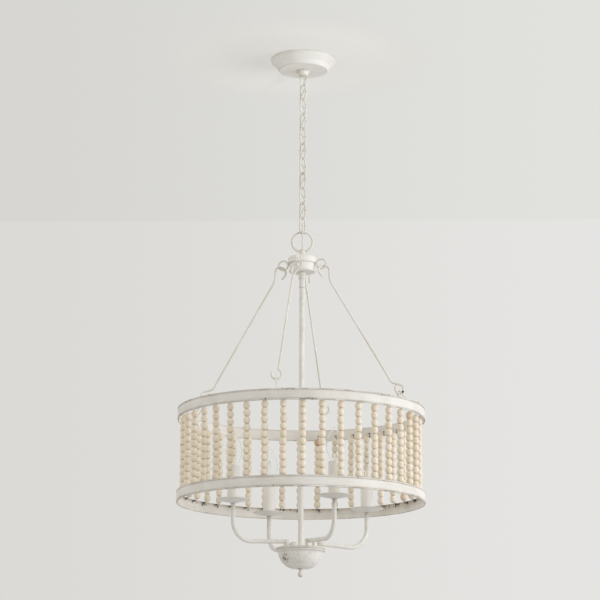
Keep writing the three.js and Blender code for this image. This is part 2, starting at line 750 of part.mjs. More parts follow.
// Bowl under the plate, open at the top, as [radius share, depth share] from lip to floor.
function bowlGeometry() {
  const sideShares = [[0.97, 0.36], [0.87, 0.6], [0.72, 0.81]];
  const depth = BOWL_DEPTH - BOWL_LIP;
  const lipZ = BOWL_TOP_Z - BOWL_LIP;
  const side = sideShares.map(([radius, drop]) => [radius * BOWL_R, lipZ - drop * depth]);
  const inside = side.map(([radius, height]) => [radius - BOWL_WALL, height + BOWL_WALL / 2]);
  return turned([
    [0, BOWL_BOTTOM_Z],
    [BOWL_FLOOR_R, BOWL_BOTTOM_Z],
    ...side.reverse(),
    [BOWL_R, lipZ],
    [BOWL_R, BOWL_TOP_Z],
    [BOWL_R - BOWL_WALL, BOWL_TOP_Z],
    ...inside,
    [BOWL_FLOOR_R - BOWL_WALL, BOWL_BOTTOM_Z + BOWL_WALL],
    [0, BOWL_BOTTOM_Z + BOWL_WALL],
  ], MEDIUM_ROUND);
}

function finialGeometry() {
  const topZ = BOWL_BOTTOM_Z - SEAT_GAP;
  const ballZ = topZ - FINIAL_NECK_H - FINIAL_BALL_R;
  const neckAngle = Math.asin(FINIAL_NECK_R / FINIAL_BALL_R);
  const outline = [];
  for (let i = 0; i <= BEND_STEPS; i++) {
    const angle = (Math.PI - neckAngle) * (i / BEND_STEPS);
    outline.push([FINIAL_BALL_R * Math.sin(angle), ballZ - FINIAL_BALL_R * Math.cos(angle)]);
  }
  outline.push([FINIAL_NECK_R, topZ], [0, topZ]);
  return turned(outline, SMALL_ROUND);
}

place('canopy', canopyGeometry(), whitePaint());
place('mounting_strap', strapGeometry(), strapSteel());
place('canopy_collar', collarGeometry(), whitePaint());
place('canopy_loop', canopyLoopGeometry(), whitePaint(), EVEN_LINK_AZIMUTH);
for (let i = 0; i < LINK_COUNT; i++) {
  const name = `chain_link_${String(i + 1).padStart(2, '0')}`;
  const azimuth = i % 2 === 0 ? ODD_LINK_AZIMUTH : EVEN_LINK_AZIMUTH;
  place(name, linkGeometry(CHAIN_TOP_Z - i * LINK_PITCH), whitePaint(), azimuth);
}
place('supply_cord', cordGeometry(), cordPlastic());
place('hanging_loop', hangingLoopGeometry(), whitePaint());
place('hub', hubGeometry(), whitePaint());
for (let i = 0; i < ROD_AZIMUTHS.length; i++) {
  const hookTurn = radians(ROD_HOOK_TURNS[i]);
  place(`hub_eye_${ROD_NAMES[i]}`, eyeGeometry(), whitePaint(), ROD_AZIMUTHS[i]);
  const sideShares = ROD_NAMES[i] === 'front' ? FRONT_HOOK_SIDE_SHARES : undefined;
  place(`hanging_rod_${ROD_NAMES[i]}`, rodGeometry(hookTurn, sideShares), whitePaint(), ROD_AZIMUTHS[i]);
}
place('stem_collar', stemCollarGeometry(), whitePaint());
place('stem', stemGeometry(), whitePaint());
place('top_hoop', topHoopGeometry(), whitePaint());
place('bottom_hoop', hoopGeometry(BOTTOM_HOOP_Z), whitePaint());
for (let i = 0; i < BEAD_STRINGS / STRINGS_PER_CURTAIN; i++) {
  place(`bead_curtain_${i + 1}`, curtainGeometry(i), beadWood());
}
for (let i = 0; i < ARM_AZIMUTHS.length; i++) {
  const azimuth = ARM_AZIMUTHS[i];
  place(`arm_${ARM_NAMES[i]}`, armGeometry(), whitePaint(), azimuth);
  place(`drip_pan_${ARM_NAMES[i]}`, panGeometry(), whitePaint(), azimuth);
  place(`candle_sleeve_${ARM_NAMES[i]}`, sleeveGeometry(), candlePlastic(), azimuth);
  place(`lamp_socket_${ARM_NAMES[i]}`, socketGeometry(), socketPlastic(), azimuth);
  place(`bulb_${ARM_NAMES[i]}`, bulbGeometry(), bulbGlass(), azimuth);
}
place('arm_plate', plateGeometry(), whitePaint());
place('bowl', bowlGeometry(), whitePaint());
place('finial', finialGeometry(), whitePaint());

export default chandelier;
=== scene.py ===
"""Beaded drum chandelier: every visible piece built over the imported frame, in metres."""

import math
import random

import bpy
from mathutils import Matrix, Vector


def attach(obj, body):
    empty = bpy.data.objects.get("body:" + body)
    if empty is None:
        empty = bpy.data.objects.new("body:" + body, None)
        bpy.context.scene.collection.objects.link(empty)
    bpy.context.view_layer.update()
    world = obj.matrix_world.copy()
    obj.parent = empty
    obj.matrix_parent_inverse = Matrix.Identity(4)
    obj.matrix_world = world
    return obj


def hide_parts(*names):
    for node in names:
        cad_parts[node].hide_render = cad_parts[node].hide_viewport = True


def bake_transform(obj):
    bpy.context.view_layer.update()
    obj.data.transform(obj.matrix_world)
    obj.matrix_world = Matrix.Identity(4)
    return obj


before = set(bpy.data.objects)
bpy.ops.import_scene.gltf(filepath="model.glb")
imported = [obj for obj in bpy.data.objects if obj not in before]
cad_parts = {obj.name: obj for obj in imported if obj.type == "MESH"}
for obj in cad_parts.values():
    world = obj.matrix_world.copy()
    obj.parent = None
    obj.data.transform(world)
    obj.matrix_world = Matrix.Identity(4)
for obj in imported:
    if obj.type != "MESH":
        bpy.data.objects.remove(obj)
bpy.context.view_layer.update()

MM = 0.001
rng = random.Random(17)

# Sizes of the CAD model, in millimetres.
SEAT_GAP = 0.3
CANOPY_R, CANOPY_RIM_H, CANOPY_H, CANOPY_FACE_R, CANOPY_WALL = 60, 6, 22.2, 45, 1.5
STRAP_T = 2.5
COLLAR_R, COLLAR_H = 10, 9.5
LINK_COUNT, LINK_PITCH, LINK_WIRE_R, LINK_BEND_R, LINK_SEAM = 10, 28.8, 1.5, 6.5, 0.4
CHAIN_TOP_Z = -49.9
LINK_AZIMUTHS = (45, 135)
CORD_R, CORD_WEAVE, CORD_STEPS = 1.3, 5, 4
LOOP_R, LOOP_WIRE_R, LOOP_EXTRA, NUB_R, NUB_RISE = 19, 1.95, 0.5, 5, 5
HUB_TOP_Z, HUB_TOP_R, HUB_SHOULDER_H, HUB_BODY_R, HUB_H = -383, 26.5, 13, 23.5, 29
HUB_FLANGE_R, HUB_FLANGE_H = 24.6, 2.6
EYE_R, EYE_WIRE_R, EYE_OUT_R, EYE_Z, EYE_CONTACT = 8.9, 1.6, 36.2, -398, 32
ROD_WIRE_R, ROD_HOOK_R, ROD_HOOK_LIFT = 2, 8.8, 0.3
# Each rod's azimuth, the turn of its lower hook and the turn of its eyelet.
RODS = {"front": (-14, 14, 14), "right": (76, -46, -20), "rear": (166, 14, 14), "left": (256, -46, -20)}
DRUM_HOOK_R, DRUM_HOOK_Z = 182, -646.7
UPPER_HOOK = (
    (0.11, -0.47, -2.4), (-0.3, -0.62, -1.9), (-0.58, -0.68, -1.4), (-0.68, -0.68, -0.9),
    (-0.54, -0.5, -0.42), (-0.28, -0.28, -0.12), (0, 0, 0), (0.26, 0.26, 0.04),
    (0.52, 0.5, 0.02), (0.86, 0.62, -0.12), (1.14, 0.65, -0.42), (1.29, 0.65, -0.95),
    (1.32, 0.6, -2), (1.48, 0.54, -2.95), (1.88, 0.47, -3.81),
)
FRONT_HOOK_SIDES = (-1.1, -1.2, -1.22, -1.12, -0.75, -0.35, 0, 0.4, 0.82, 1.15, 1.32, 1.28, 0.3, -0.3, -0.5)
DRUM_R, HOOP_WALL, HOOP_H, TOP_HOOP_Z, DRUM_GAP = 225, 2, 20.5, -670.5, 130.4
EYELET_WIRE_R, EYELET_HALF_W, EYELET_TILT = 1.2, 5, 28
# How far the eyelet's legs sag between the hook and the hoop.
EYELET_SAG = 12
STRINGS, PER_CURTAIN, STRING_R, FIRST_STRING, BEADS = 40, 5, 214, 0.6, 10
BEAD_R, STRING_WIRE_R, STRING_TAIL_H, STRING_TUCK = 6.35, 0.8, 5, 2
ARMS = {"front_left": -64, "front_right": 26, "rear_right": 116, "rear_left": 206}
ARM_OUT_R, ARM_TUBE_R, ARM_BEND_R, ARM_RUN_Z, ARM_RISE = 134, 4, 35, -915, 3.5
ARM_FOOT_R, ARM_FOOT_BEND_R, FERRULE_R, FERRULE_H = 28, 6, 4.75, 9
SLEEVE_R, SLEEVE_WALL, SLEEVE_H, SLEEVE_BOTTOM_Z = 11, 1.5, 60, -843
PAN_R, PAN_RIM_RISE, PAN_SEAT_R, PAN_EDGE, PAN_HUB_R, PAN_DEPTH = 30.5, 1.6, 16, 1.1, 9, 5.6
SOCKET_R, SOCKET_BORE_R, SOCKET_INSET, SOCKET_BORE_DEPTH = 9, 6.6, 6, 22
BULB_BASE_R, BULB_R, BULB_TIP_Z = 6, 15.5, -720
PLATE_R, PLATE_T, PLATE_TOP_Z = 45, 4, -921.7
BOWL_R, BOWL_LIP, BOWL_DEPTH, BOWL_FLOOR_R, BOWL_WALL = 42.5, 2.2, 32.5, 20, 1.6
FINIAL_NECK_R, FINIAL_NECK_H, FINIAL_BALL_R = 3, 5, 5

COLLAR_TOP_Z = -CANOPY_H - SEAT_GAP
COLLAR_BOTTOM_Z = COLLAR_TOP_Z - COLLAR_H
LINK_SEAT = LINK_WIRE_R + SEAT_GAP / 2
CHAIN_BOTTOM_Z = CHAIN_TOP_Z - LINK_COUNT * LINK_PITCH
LOOP_CENTRE_Z = CHAIN_BOTTOM_Z - LINK_SEAT + LINK_WIRE_R + SEAT_GAP + LOOP_WIRE_R - LOOP_R
LOOP_BOTTOM_Z = LOOP_CENTRE_Z - LOOP_R
HUB_BOTTOM_Z = HUB_TOP_Z - HUB_H
STEM_TOP_Z = HUB_BOTTOM_Z - SEAT_GAP - 30
TOP_HOOP_BOTTOM_Z = TOP_HOOP_Z - HOOP_H
BOTTOM_HOOP_Z = TOP_HOOP_BOTTOM_Z - DRUM_GAP
HOOP_IN_R = DRUM_R - HOOP_WALL
STRING_TOP_Z = TOP_HOOP_BOTTOM_Z + STRING_TUCK
STRING_SEAT_R = HOOP_IN_R - SEAT_GAP - STRING_WIRE_R
SLEEVE_TOP_Z = SLEEVE_BOTTOM_Z + SLEEVE_H
PAN_TOP_Z = SLEEVE_BOTTOM_Z - SEAT_GAP
PAN_BOTTOM_Z = PAN_TOP_Z - PAN_DEPTH
ARM_BOTTOM_Z = PLATE_TOP_Z + SEAT_GAP
BOWL_TOP_Z = PLATE_TOP_Z - PLATE_T - SEAT_GAP
BOWL_BOTTOM_Z = BOWL_TOP_Z - BOWL_DEPTH
SOCKET_TOP_Z = SLEEVE_TOP_Z - SOCKET_INSET
SOCKET_FLOOR_Z = SOCKET_TOP_Z - SOCKET_BORE_DEPTH


# Materials

def linear(srgb):
    """Linear colour of an sRGB triple from 0 to 255."""
    values = [c / 255 for c in srgb]
    return [v / 12.92 if v <= 0.04045 else ((v + 0.055) / 1.055) ** 2.4 for v in values] + [1]


class Shader:
    """A node material with one Principled BSDF, and short calls for the nodes in front of it."""

    def __init__(self, name, **inputs):
        self.material = bpy.data.materials.new(name)
        self.material.use_nodes = True
        self.tree = self.material.node_tree
        self.tree.nodes.clear()
        output = self.add("ShaderNodeOutputMaterial")
        self.bsdf = self.add("ShaderNodeBsdfPrincipled")
        self.tree.links.new(self.bsdf.outputs[0], output.inputs[0])
        for key, value in inputs.items():
            self.bsdf.inputs[key.replace("_", " ")].default_value = value

    def add(self, kind, **settings):
        node = self.tree.nodes.new(kind)
        for key, value in settings.items():
            setattr(node, key, value)
        return node

    def feed(self, socket, value):
        if isinstance(value, bpy.types.NodeSocket):
            self.tree.links.new(value, socket)
        else:
            socket.default_value = value

    def coords(self, scale=(1, 1, 1), source=None):
        if source is None:
            source = self.add("ShaderNodeTexCoord").outputs["Object"]
        mapping = self.add("ShaderNodeMapping")
        self.feed(mapping.inputs["Vector"], source)
        mapping.inputs["Scale"].default_value = scale
        return mapping.outputs[0]

    def attribute(self, name, output="Fac"):
        return self.add("ShaderNodeAttribute", attribute_name=name).outputs[output]

    def noise(self, vector, scale, detail=2, roughness=0.5, distortion=0):
        node = self.add("ShaderNodeTexNoise")
        self.feed(node.inputs["Vector"], vector)
        node.inputs["Scale"].default_value = scale
        node.inputs["Detail"].default_value = detail
        node.inputs["Roughness"].default_value = roughness
        node.inputs["Distortion"].default_value = distortion
        return node.outputs[0]

    def math(self, operation, a, b=0.0, clamp=False):
        node = self.add("ShaderNodeMath", operation=operation, use_clamp=clamp)
        self.feed(node.inputs[0], a)
        self.feed(node.inputs[1], b)
        return node.outputs[0]

    def remap(self, value, low, high, to_low=0.0, to_high=1.0):
        node = self.add("ShaderNodeMapRange", interpolation_type="SMOOTHSTEP")
        self.feed(node.inputs["Value"], value)
        for key, number in (("From Min", low), ("From Max", high), ("To Min", to_low), ("To Max", to_high)):
            node.inputs[key].default_value = number
        return node.outputs[0]

    def mix(self, factor, a, b):
        node = self.add("ShaderNodeMix", data_type="RGBA")
        self.feed(node.inputs[0], factor)
        self.feed(node.inputs[6], a)
        self.feed(node.inputs[7], b)
        return node.outputs[2]

    def bump(self, height, strength, distance):
        node = self.add("ShaderNodeBump")
        self.feed(node.inputs["Height"], height)
        node.inputs["Strength"].default_value = strength
        node.inputs["Distance"].default_value = distance * MM
        self.feed(self.bsdf.inputs["Normal"], node.outputs[0])


def paint(name, light=(243, 241, 236), dark=(235, 232, 226), chips=0.8, edge=0.35, streaks=0.0, grime_and_shade=0.03,
          mottle=0.0):
    """Chalky off-white paint, browned and thinned along edges, with a few chips down to dark metal; where a piece's
    per-vertex values stand for shade, that browning is painted shade.
    """
    m = Shader(name, Specular_IOR_Level=0.35)
    where = m.coords()
    patches = m.noise(where, 24, 3)
    fine = m.noise(where, 230, 6, 0.62)
    grit = m.noise(where, 1500, 2)
    wear_and_shade = m.attribute("wear_and_shade")
    colour = m.mix(m.remap(patches, 0.36, 0.64), linear(light), linear(dark))
    if streaks:
        lines = m.noise(m.coords((14, 14, 620)), 1, 5, 0.6)
        colour = m.mix(m.remap(lines, 0.5, 0.8, 0, streaks), colour, linear((206, 200, 190)))
    if mottle:
        blots = m.noise(where, 110, 4, 0.7)
        colour = m.mix(m.remap(blots, 0.48, 0.72, 0, mottle), colour, linear((198, 192, 180)))
    # Browner paint where the per-vertex values are high: real edge rubbing, and painted shade on the lower hoop's inner
    # face and on the finial.
    rubbed_and_shaded = m.math("MULTIPLY", m.math("MULTIPLY", wear_and_shade, edge), m.remap(patches, 0.35, 0.65, 0.6, 1))
    colour = m.mix(rubbed_and_shaded, colour, linear((166, 148, 124)))
    spots = m.math("ADD", fine, m.math("MULTIPLY", m.math("SUBTRACT", patches, 0.5), 0.45))
    # Drips of dirt scaled by the same values, so on the lower hoop's inner face and the finial they also carry painted
    # shade.
    drips = m.remap(m.noise(m.coords((420, 420, 60)), 1, 3), 0.46, 0.62, 0.5, 1.9)
    spots = m.math("ADD", spots, m.math("MULTIPLY", m.math("MULTIPLY", wear_and_shade, grime_and_shade), drips))
    thin = m.remap(spots, chips - 0.05, chips)
    bare = m.remap(spots, chips, chips + 0.025)
    colour = m.mix(m.math("MULTIPLY", thin, 0.5), colour, linear((184, 170, 150)))
    colour = m.mix(bare, colour, linear((96, 82, 66)))
    m.feed(m.bsdf.inputs["Base Color"], colour)
    rough = m.math("ADD", m.remap(fine, 0.3, 0.7, 0.5, 0.66), m.math("MULTIPLY", bare, -0.12))
    m.feed(m.bsdf.inputs["Roughness"], rough)
    height = m.math("SUBTRACT", m.math("ADD", m.math("MULTIPLY", fine, 0.5), m.math("MULTIPLY", grit, 0.2)), bare)
    m.bump(height, 0.08, 0.06)
    return m.material


def bead_wood():
    """Pale washed wood, each bead with its own shade and grain direction, and painted shade towards its ends where the
    beads meet.
    """
    m = Shader("bead_wood", Specular_IOR_Level=0.4, Coat_Weight=0.06, Coat_Roughness=0.35)
    grain = m.attribute("grain", "Vector")
    shade = m.attribute("shade")
    rings = m.noise(m.coords((90, 90, 620), grain), 1, 4, 0.6, 0.6)
    fibres = m.noise(m.coords((260, 260, 2600), grain), 1, 2, 0.6)
    tone = m.math("ADD", m.remap(rings, 0.32, 0.68, 0, 0.55), m.math("MULTIPLY", shade, 0.45))
    colour = m.mix(tone, linear((251, 243, 228)), linear((237, 222, 198)))
    # Painted shade: darker tan towards each bead's ends, where the beads meet, from the third value of the bead
    # outline.
    colour = m.mix(m.remap(m.attribute("wear_and_shade"), 0.3, 1, 0, 0.4), colour, linear((206, 180, 146)))
    pores = m.remap(fibres, 0.6, 0.78, 0, 0.25)
    colour = m.mix(pores, colour, linear((200, 174, 138)))
    colour = m.mix(m.remap(shade, 1.2, 1.8, 0, 0.65), colour, linear((202, 150, 108)))
    m.feed(m.bsdf.inputs["Base Color"], colour)
    m.feed(m.bsdf.inputs["Roughness"], m.remap(rings, 0.3, 0.7, 0.48, 0.6))
    m.bump(m.math("ADD", m.math("MULTIPLY", rings, 0.5), m.math("MULTIPLY", fibres, 0.5)), 0.25, 0.15)
    return m.material


def fibre(name, light, dark):
    """Twisted yarn or sheath: fine slanting ridges along the piece."""
    m = Shader(name, Roughness=0.8, Specular_IOR_Level=0.25)
    where = m.coords()
    tone = m.noise(where, 420, 3)
    wave = m.add("ShaderNodeTexWave", wave_type="BANDS", bands_direction="DIAGONAL")
    m.feed(wave.inputs["Vector"], where)
    wave.inputs["Scale"].default_value = 520
    wave.inputs["Distortion"].default_value = 1.5
    m.feed(m.bsdf.inputs["Base Color"], m.mix(tone, linear(light), linear(dark)))
    m.bump(wave.outputs["Fac"], 0.4, 0.15)
    return m.material


def cord_sheath():
    """Translucent whitish sheath over twisted conductors."""
    m = Shader("cord_sheath", Specular_IOR_Level=0.5, Transmission_Weight=0.08, IOR=1.46)
    where = m.coords()
    wave = m.add("ShaderNodeTexWave", wave_type="BANDS", bands_direction="DIAGONAL")
    m.feed(wave.inputs["Vector"], where)
    wave.inputs["Scale"].default_value = 130
    wave.inputs["Distortion"].default_value = 0.6
    colour = m.mix(m.remap(wave.outputs["Fac"], 0.3, 0.8), linear((244, 242, 236)), linear((232, 228, 218)))
    m.feed(m.bsdf.inputs["Base Color"], colour)
    m.feed(m.bsdf.inputs["Roughness"], m.remap(m.noise(where, 300), 0.3, 0.7, 0.22, 0.34))
    m.bump(wave.outputs["Fac"], 0.12, 0.1)
    return m.material


def metal(name, light, dark, rough=(0.25, 0.42), scale=(40, 40, 700)):
    """Plated metal with fine drawn lines and dull patches."""
    m = Shader(name, Metallic=1.0)
    lines = m.noise(m.coords(scale), 1, 4)
    spots = m.noise(m.coords(), 160, 3)
    m.feed(m.bsdf.inputs["Base Color"], m.mix(m.remap(spots, 0.35, 0.65), linear(light), linear(dark)))
    m.feed(m.bsdf.inputs["Roughness"], m.remap(lines, 0.3, 0.7, *rough))
    m.bump(lines, 0.15, 0.05)
    return m.material


def moulded(name, light, dark, rough=(0.38, 0.5)):
    """Moulded plastic with a faint grain."""
    m = Shader(name, Specular_IOR_Level=0.45)
    where = m.coords()
    m.feed(m.bsdf.inputs["Base Color"], m.mix(m.noise(where, 60, 3), linear(light), linear(dark)))
    m.feed(m.bsdf.inputs["Roughness"], m.remap(m.noise(where, 500, 3), 0.3, 0.7, *rough))
    m.bump(m.noise(where, 1400, 2), 0.12, 0.08)
    return m.material


def glass():
    """Clear thin bulb glass with the slightest ripple."""
    m = Shader("bulb_glass", Transmission_Weight=1.0, IOR=1.04)
    where = m.coords()
    m.feed(m.bsdf.inputs["Base Color"], m.mix(m.noise(where, 30), [1, 1, 1, 1], [0.985, 0.99, 0.985, 1]))
    m.feed(m.bsdf.inputs["Roughness"], m.remap(m.noise(where, 90), 0.3, 0.7, 0.0, 0.02))
    m.bump(m.noise(where, 70, 1), 0.04, 0.3)
    return m.material


def hole_painted_shade():
    """Painted shade for the inside of a small drilled hole: a flat dark colour, with paint dust at its rim."""
    m = Shader("hole_painted_shade", Roughness=0.85)
    dust = m.noise(m.coords(), 900, 3)
    m.feed(m.bsdf.inputs["Base Color"], m.mix(m.remap(dust, 0.5, 0.75), linear((34, 30, 27)), linear((104, 94, 82))))
    m.bump(dust, 0.3, 0.1)
    return m.material


PAINT = paint("white_paint", chips=0.86, edge=0.2, mottle=0.3)
PAINT_HOOP = paint("white_paint_hoop", light=(243, 240, 235), dark=(234, 230, 223), chips=0.78, edge=0.5,
                   streaks=0.6, grime_and_shade=0.11)
PAINT_BOWL = paint("white_paint_bowl", chips=0.8, edge=0.3, streaks=0.5, grime_and_shade=0.26, mottle=0.4)
PAINT_SLEEVE = paint("white_paint_sleeve", light=(247, 245, 241), dark=(241, 238, 233), chips=0.77, edge=0.15)
PAINT_FINE = paint("white_paint_fine", light=(247, 245, 241), dark=(242, 239, 234), chips=0.82, edge=0.15)
PAINT_WIRE = paint("white_paint_wire", light=(245, 242, 235), dark=(234, 229, 219), chips=0.95, edge=0.2)
WOOD = bead_wood()
YARN = fibre("bead_yarn", (238, 229, 210), (220, 206, 180))
KNOT = fibre("knot_wire", (92, 88, 76), (52, 48, 40))
SHEATH = cord_sheath()
STEEL = metal("strap_steel", (196, 196, 192), (168, 168, 162))
NICKEL = metal("lamp_base_metal", (204, 198, 184), (176, 168, 150), scale=(30, 30, 900))
TUNGSTEN = metal("filament_metal", (190, 186, 180), (170, 166, 158), rough=(0.4, 0.6))
SOCKET = moulded("socket_plastic", (222, 216, 202), (208, 200, 184))
GLASS = glass()
HOLE_SHADE = hole_painted_shade()


# Mesh helpers, all in millimetres until the vertices are written

def build(name, vertices, faces, material, wear_and_shade=None):
    mesh = bpy.data.meshes.new(name)
    mesh.from_pydata([[c * MM for c in v] for v in vertices], [], faces)
    mesh.validate()
    mesh.polygons.foreach_set("use_smooth", [True] * len(mesh.polygons))
    if wear_and_shade is not None:
        mesh.attributes.new("wear_and_shade", "FLOAT", "POINT").data.foreach_set("value", wear_and_shade)
    mesh.materials.append(material)
    mesh.update()
    piece = bpy.data.objects.new(name, mesh)
    bpy.context.scene.collection.objects.link(piece)
    return piece


def rounded(corners, closed=False, fade=1.6):
    """An outline with filleted corners and a wear value: corners are (radius, height, fillet)."""
    points = []
    count = len(corners)
    for i, corner in enumerate(corners):
        r, z = corner[0], corner[1]
        fillet = corner[2] if len(corner) > 2 else 0
        ends = not closed and i in (0, count - 1)
        if ends or not fillet:
            points.append((r, z, 0.0))
            continue
        here = Vector((r, z))
        before = Vector(corners[i - 1][:2]) - here
        after = Vector(corners[(i + 1) % count][:2]) - here
        half = before.angle(after) / 2
        reach = min(fillet / math.tan(half), before.length * 0.45, after.length * 0.45)
        radius = reach * math.tan(half)
        centre = here + (before.normalized() + after.normalized()).normalized() * (radius / math.sin(half))
        sharp = 1.0 if half < math.radians(78) and fillet < 3 else 0.0
        for side, edge in ((before, 1), (after, -1)):
            run = side.normalized()
            start = here + run * reach
            faded = start + run * min(fade, max(0.0, side.length * 0.5 - reach))
            if edge == 1:
                points.append((faded.x, faded.y, 0.0))
                first = start - centre
            else:
                last = start - centre
                tail = (faded.x, faded.y, 0.0)
        steps = 5 if fillet < 3 else 10
        turn = first.angle_signed(last)
        for k in range(steps + 1):
            angle = -turn * k / steps
            c, s = math.cos(angle), math.sin(angle)
            arm = Vector((first.x * c - first.y * s, first.x * s + first.y * c))
            points.append((centre.x + arm.x, centre.y + arm.y, sharp))
        points.append(tail)
    return points


def lathe_arrays(points, segments, closed=False):
    """Vertices, faces and wear of an outline turned round Z; radii at 0 become poles."""
    rings, vertices, wear_and_shade = [], [], []
    for r, z, w in points:
        if r < 1e-6:
            rings.append([len(vertices)])
            vertices.append((0, 0, z))
            wear_and_shade.append(w)
            continue
        ring = []
        for s in range(segments):
            angle = 2 * math.pi * s / segments
            ring.append(len(vertices))
            vertices.append((r * math.cos(angle), r * math.sin(angle), z))
            wear_and_shade.append(w)
        rings.append(ring)
    pairs = list(zip(rings, rings[1:]))
    if closed:
        pairs.append((rings[-1], rings[0]))
    faces = []
    for a, b in pairs:
        if len(a) == 1 and len(b) == 1:
            continue
        for s in range(segments):
            t = (s + 1) % segments
            if len(a) == 1:
                faces.append((a[0], b[t], b[s]))
            elif len(b) == 1:
                faces.append((a[s], a[t], b[0]))
            else:
                faces.append((a[s], a[t], b[t], b[s]))
    return vertices, faces, wear_and_shade


def lathe(name, corners, material, segments=64, closed=False):
    vertices, faces, wear_and_shade = lathe_arrays(rounded(corners, closed), segments, closed)
    return build(name, vertices, faces, material, wear_and_shade)


def curve_points(points, per=5, closed=False):
    """A Catmull-Rom line through the points, as dense points."""
    pts = [Vector(p) for p in points]
    count = len(pts)
    result = []
    for i in range(count if closed else count - 1):
        a = pts[i - 1] if closed or i else pts[0] * 2 - pts[1]
        b, c = pts[i], pts[(i + 1) % count]
        if closed or i + 2 < count:
            d = pts[(i + 2) % count]
        else:
            d = pts[-1] * 2 - pts[-2]
        for k in range(per):
            t = k / per
            result.append(0.5 * (2 * b + (c - a) * t + (2 * a - 5 * b + 4 * c - d) * t * t
                                 + (3 * b - a - 3 * c + d) * t ** 3))
    if not closed:
        result.append(pts[-1])
    return result


def tube_arrays(path, radius, sides=14, closed=False, flat_ends=False):
    """Vertices, faces and wear of a round tube along a path, of one radius or one for each point."""
    count = len(path)
    radii = radius if isinstance(radius, list) else [radius] * count
    tangents = []
    for i in range(count):
        before = path[i - 1] if closed or i else path[0]
        after = path[(i + 1) % count] if closed or i + 1 < count else path[-1]
        tangents.append((after - before).normalized())
    spread = max(range(3), key=lambda k: -abs(tangents[0][k]))
    normal = tangents[0].cross(Vector([1.0 if k == spread else 0.0 for k in range(3)])).normalized()
    normals = [normal]
    for i in range(1, count):
        normal = tangents[i - 1].rotation_difference(tangents[i]) @ normal
        normals.append(normal.normalized())
    stations = [(path[i], tangents[i], normals[i], radii[i]) for i in range(count)]
    if closed:
        target = tangents[-1].rotation_difference(tangents[0]) @ normals[-1]
        twist = math.atan2(target.cross(normals[0]).dot(tangents[0]), target.dot(normals[0]))
        stations = [(p, t, Matrix.Rotation(twist * i / count, 3, t) @ n, r)
                    for i, (p, t, n, r) in enumerate(stations)]
    elif not flat_ends:
        head, tail = stations[0], stations[-1]
        caps = [(math.sin(a), 1 - math.cos(a)) for a in (math.radians(d) for d in (20, 45, 70))]
        front = [(head[0] + head[1] * head[3] * 0.5 * (1 - s), head[1], head[2], head[3] * s) for s, _ in caps]
        back = [(tail[0] - tail[1] * tail[3] * 0.5 * (1 - s), tail[1], tail[2], tail[3] * s) for s, _ in caps]
        stations = front + stations[1:-1] + back[::-1]
    vertices, rings = [], []
    for point, tangent, normal, r in stations:
        side = tangent.cross(normal)
        ring = []
        for s in range(sides):
            angle = 2 * math.pi * s / sides
            ring.append(len(vertices))
            vertices.append(tuple(point + (normal * math.cos(angle) + side * math.sin(angle)) * r))
        rings.append(ring)
    pairs = list(zip(rings, rings[1:])) + ([(rings[-1], rings[0])] if closed else [])
    faces = [(a[s], a[(s + 1) % sides], b[(s + 1) % sides], b[s]) for a, b in pairs for s in range(sides)]
    if not closed:
        faces.append(tuple(reversed(rings[0])))
        faces.append(tuple(rings[-1]))
    return vertices, faces, [0.25] * len(vertices)


def merged(arrays):
    """Several sets of vertices, faces and wear as one."""
    vertices, faces, wear_and_shade = [], [], []
    for v, f, w in arrays:
        base = len(vertices)
        vertices += v
        faces += [tuple(i + base for i in face) for face in f]
        wear_and_shade += w
    return vertices, faces, wear_and_shade


def moved(arrays, x=0.0, y=0.0, z=0.0):
    vertices, faces, wear_and_shade = arrays
    return [(a + x, b + y, c + z) for a, b, c in vertices], faces, wear_and_shade


def turned(arrays, azimuth):
    """A piece made along +X, turned to its azimuth, which runs from -Y towards +X."""
    vertices, faces, wear_and_shade = arrays
    angle = math.radians(azimuth - 90)
    c, s = math.cos(angle), math.sin(angle)
    return [(x * c - y * s, x * s + y * c, z) for x, y, z in vertices], faces, wear_and_shade


def finish_piece(piece, body, slot, *nodes):
    if nodes:
        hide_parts(*nodes)
    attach(piece, body)
    return piece


def sharpen(piece, angle=40):
    """Shades flat across edges sharper than the angle."""
    bpy.context.view_layer.objects.active = piece
    piece.select_set(True)
    bpy.ops.object.shade_smooth_by_angle(angle=math.radians(angle))
    piece.select_set(False)
    return piece


# Canopy, strap, collar and chain

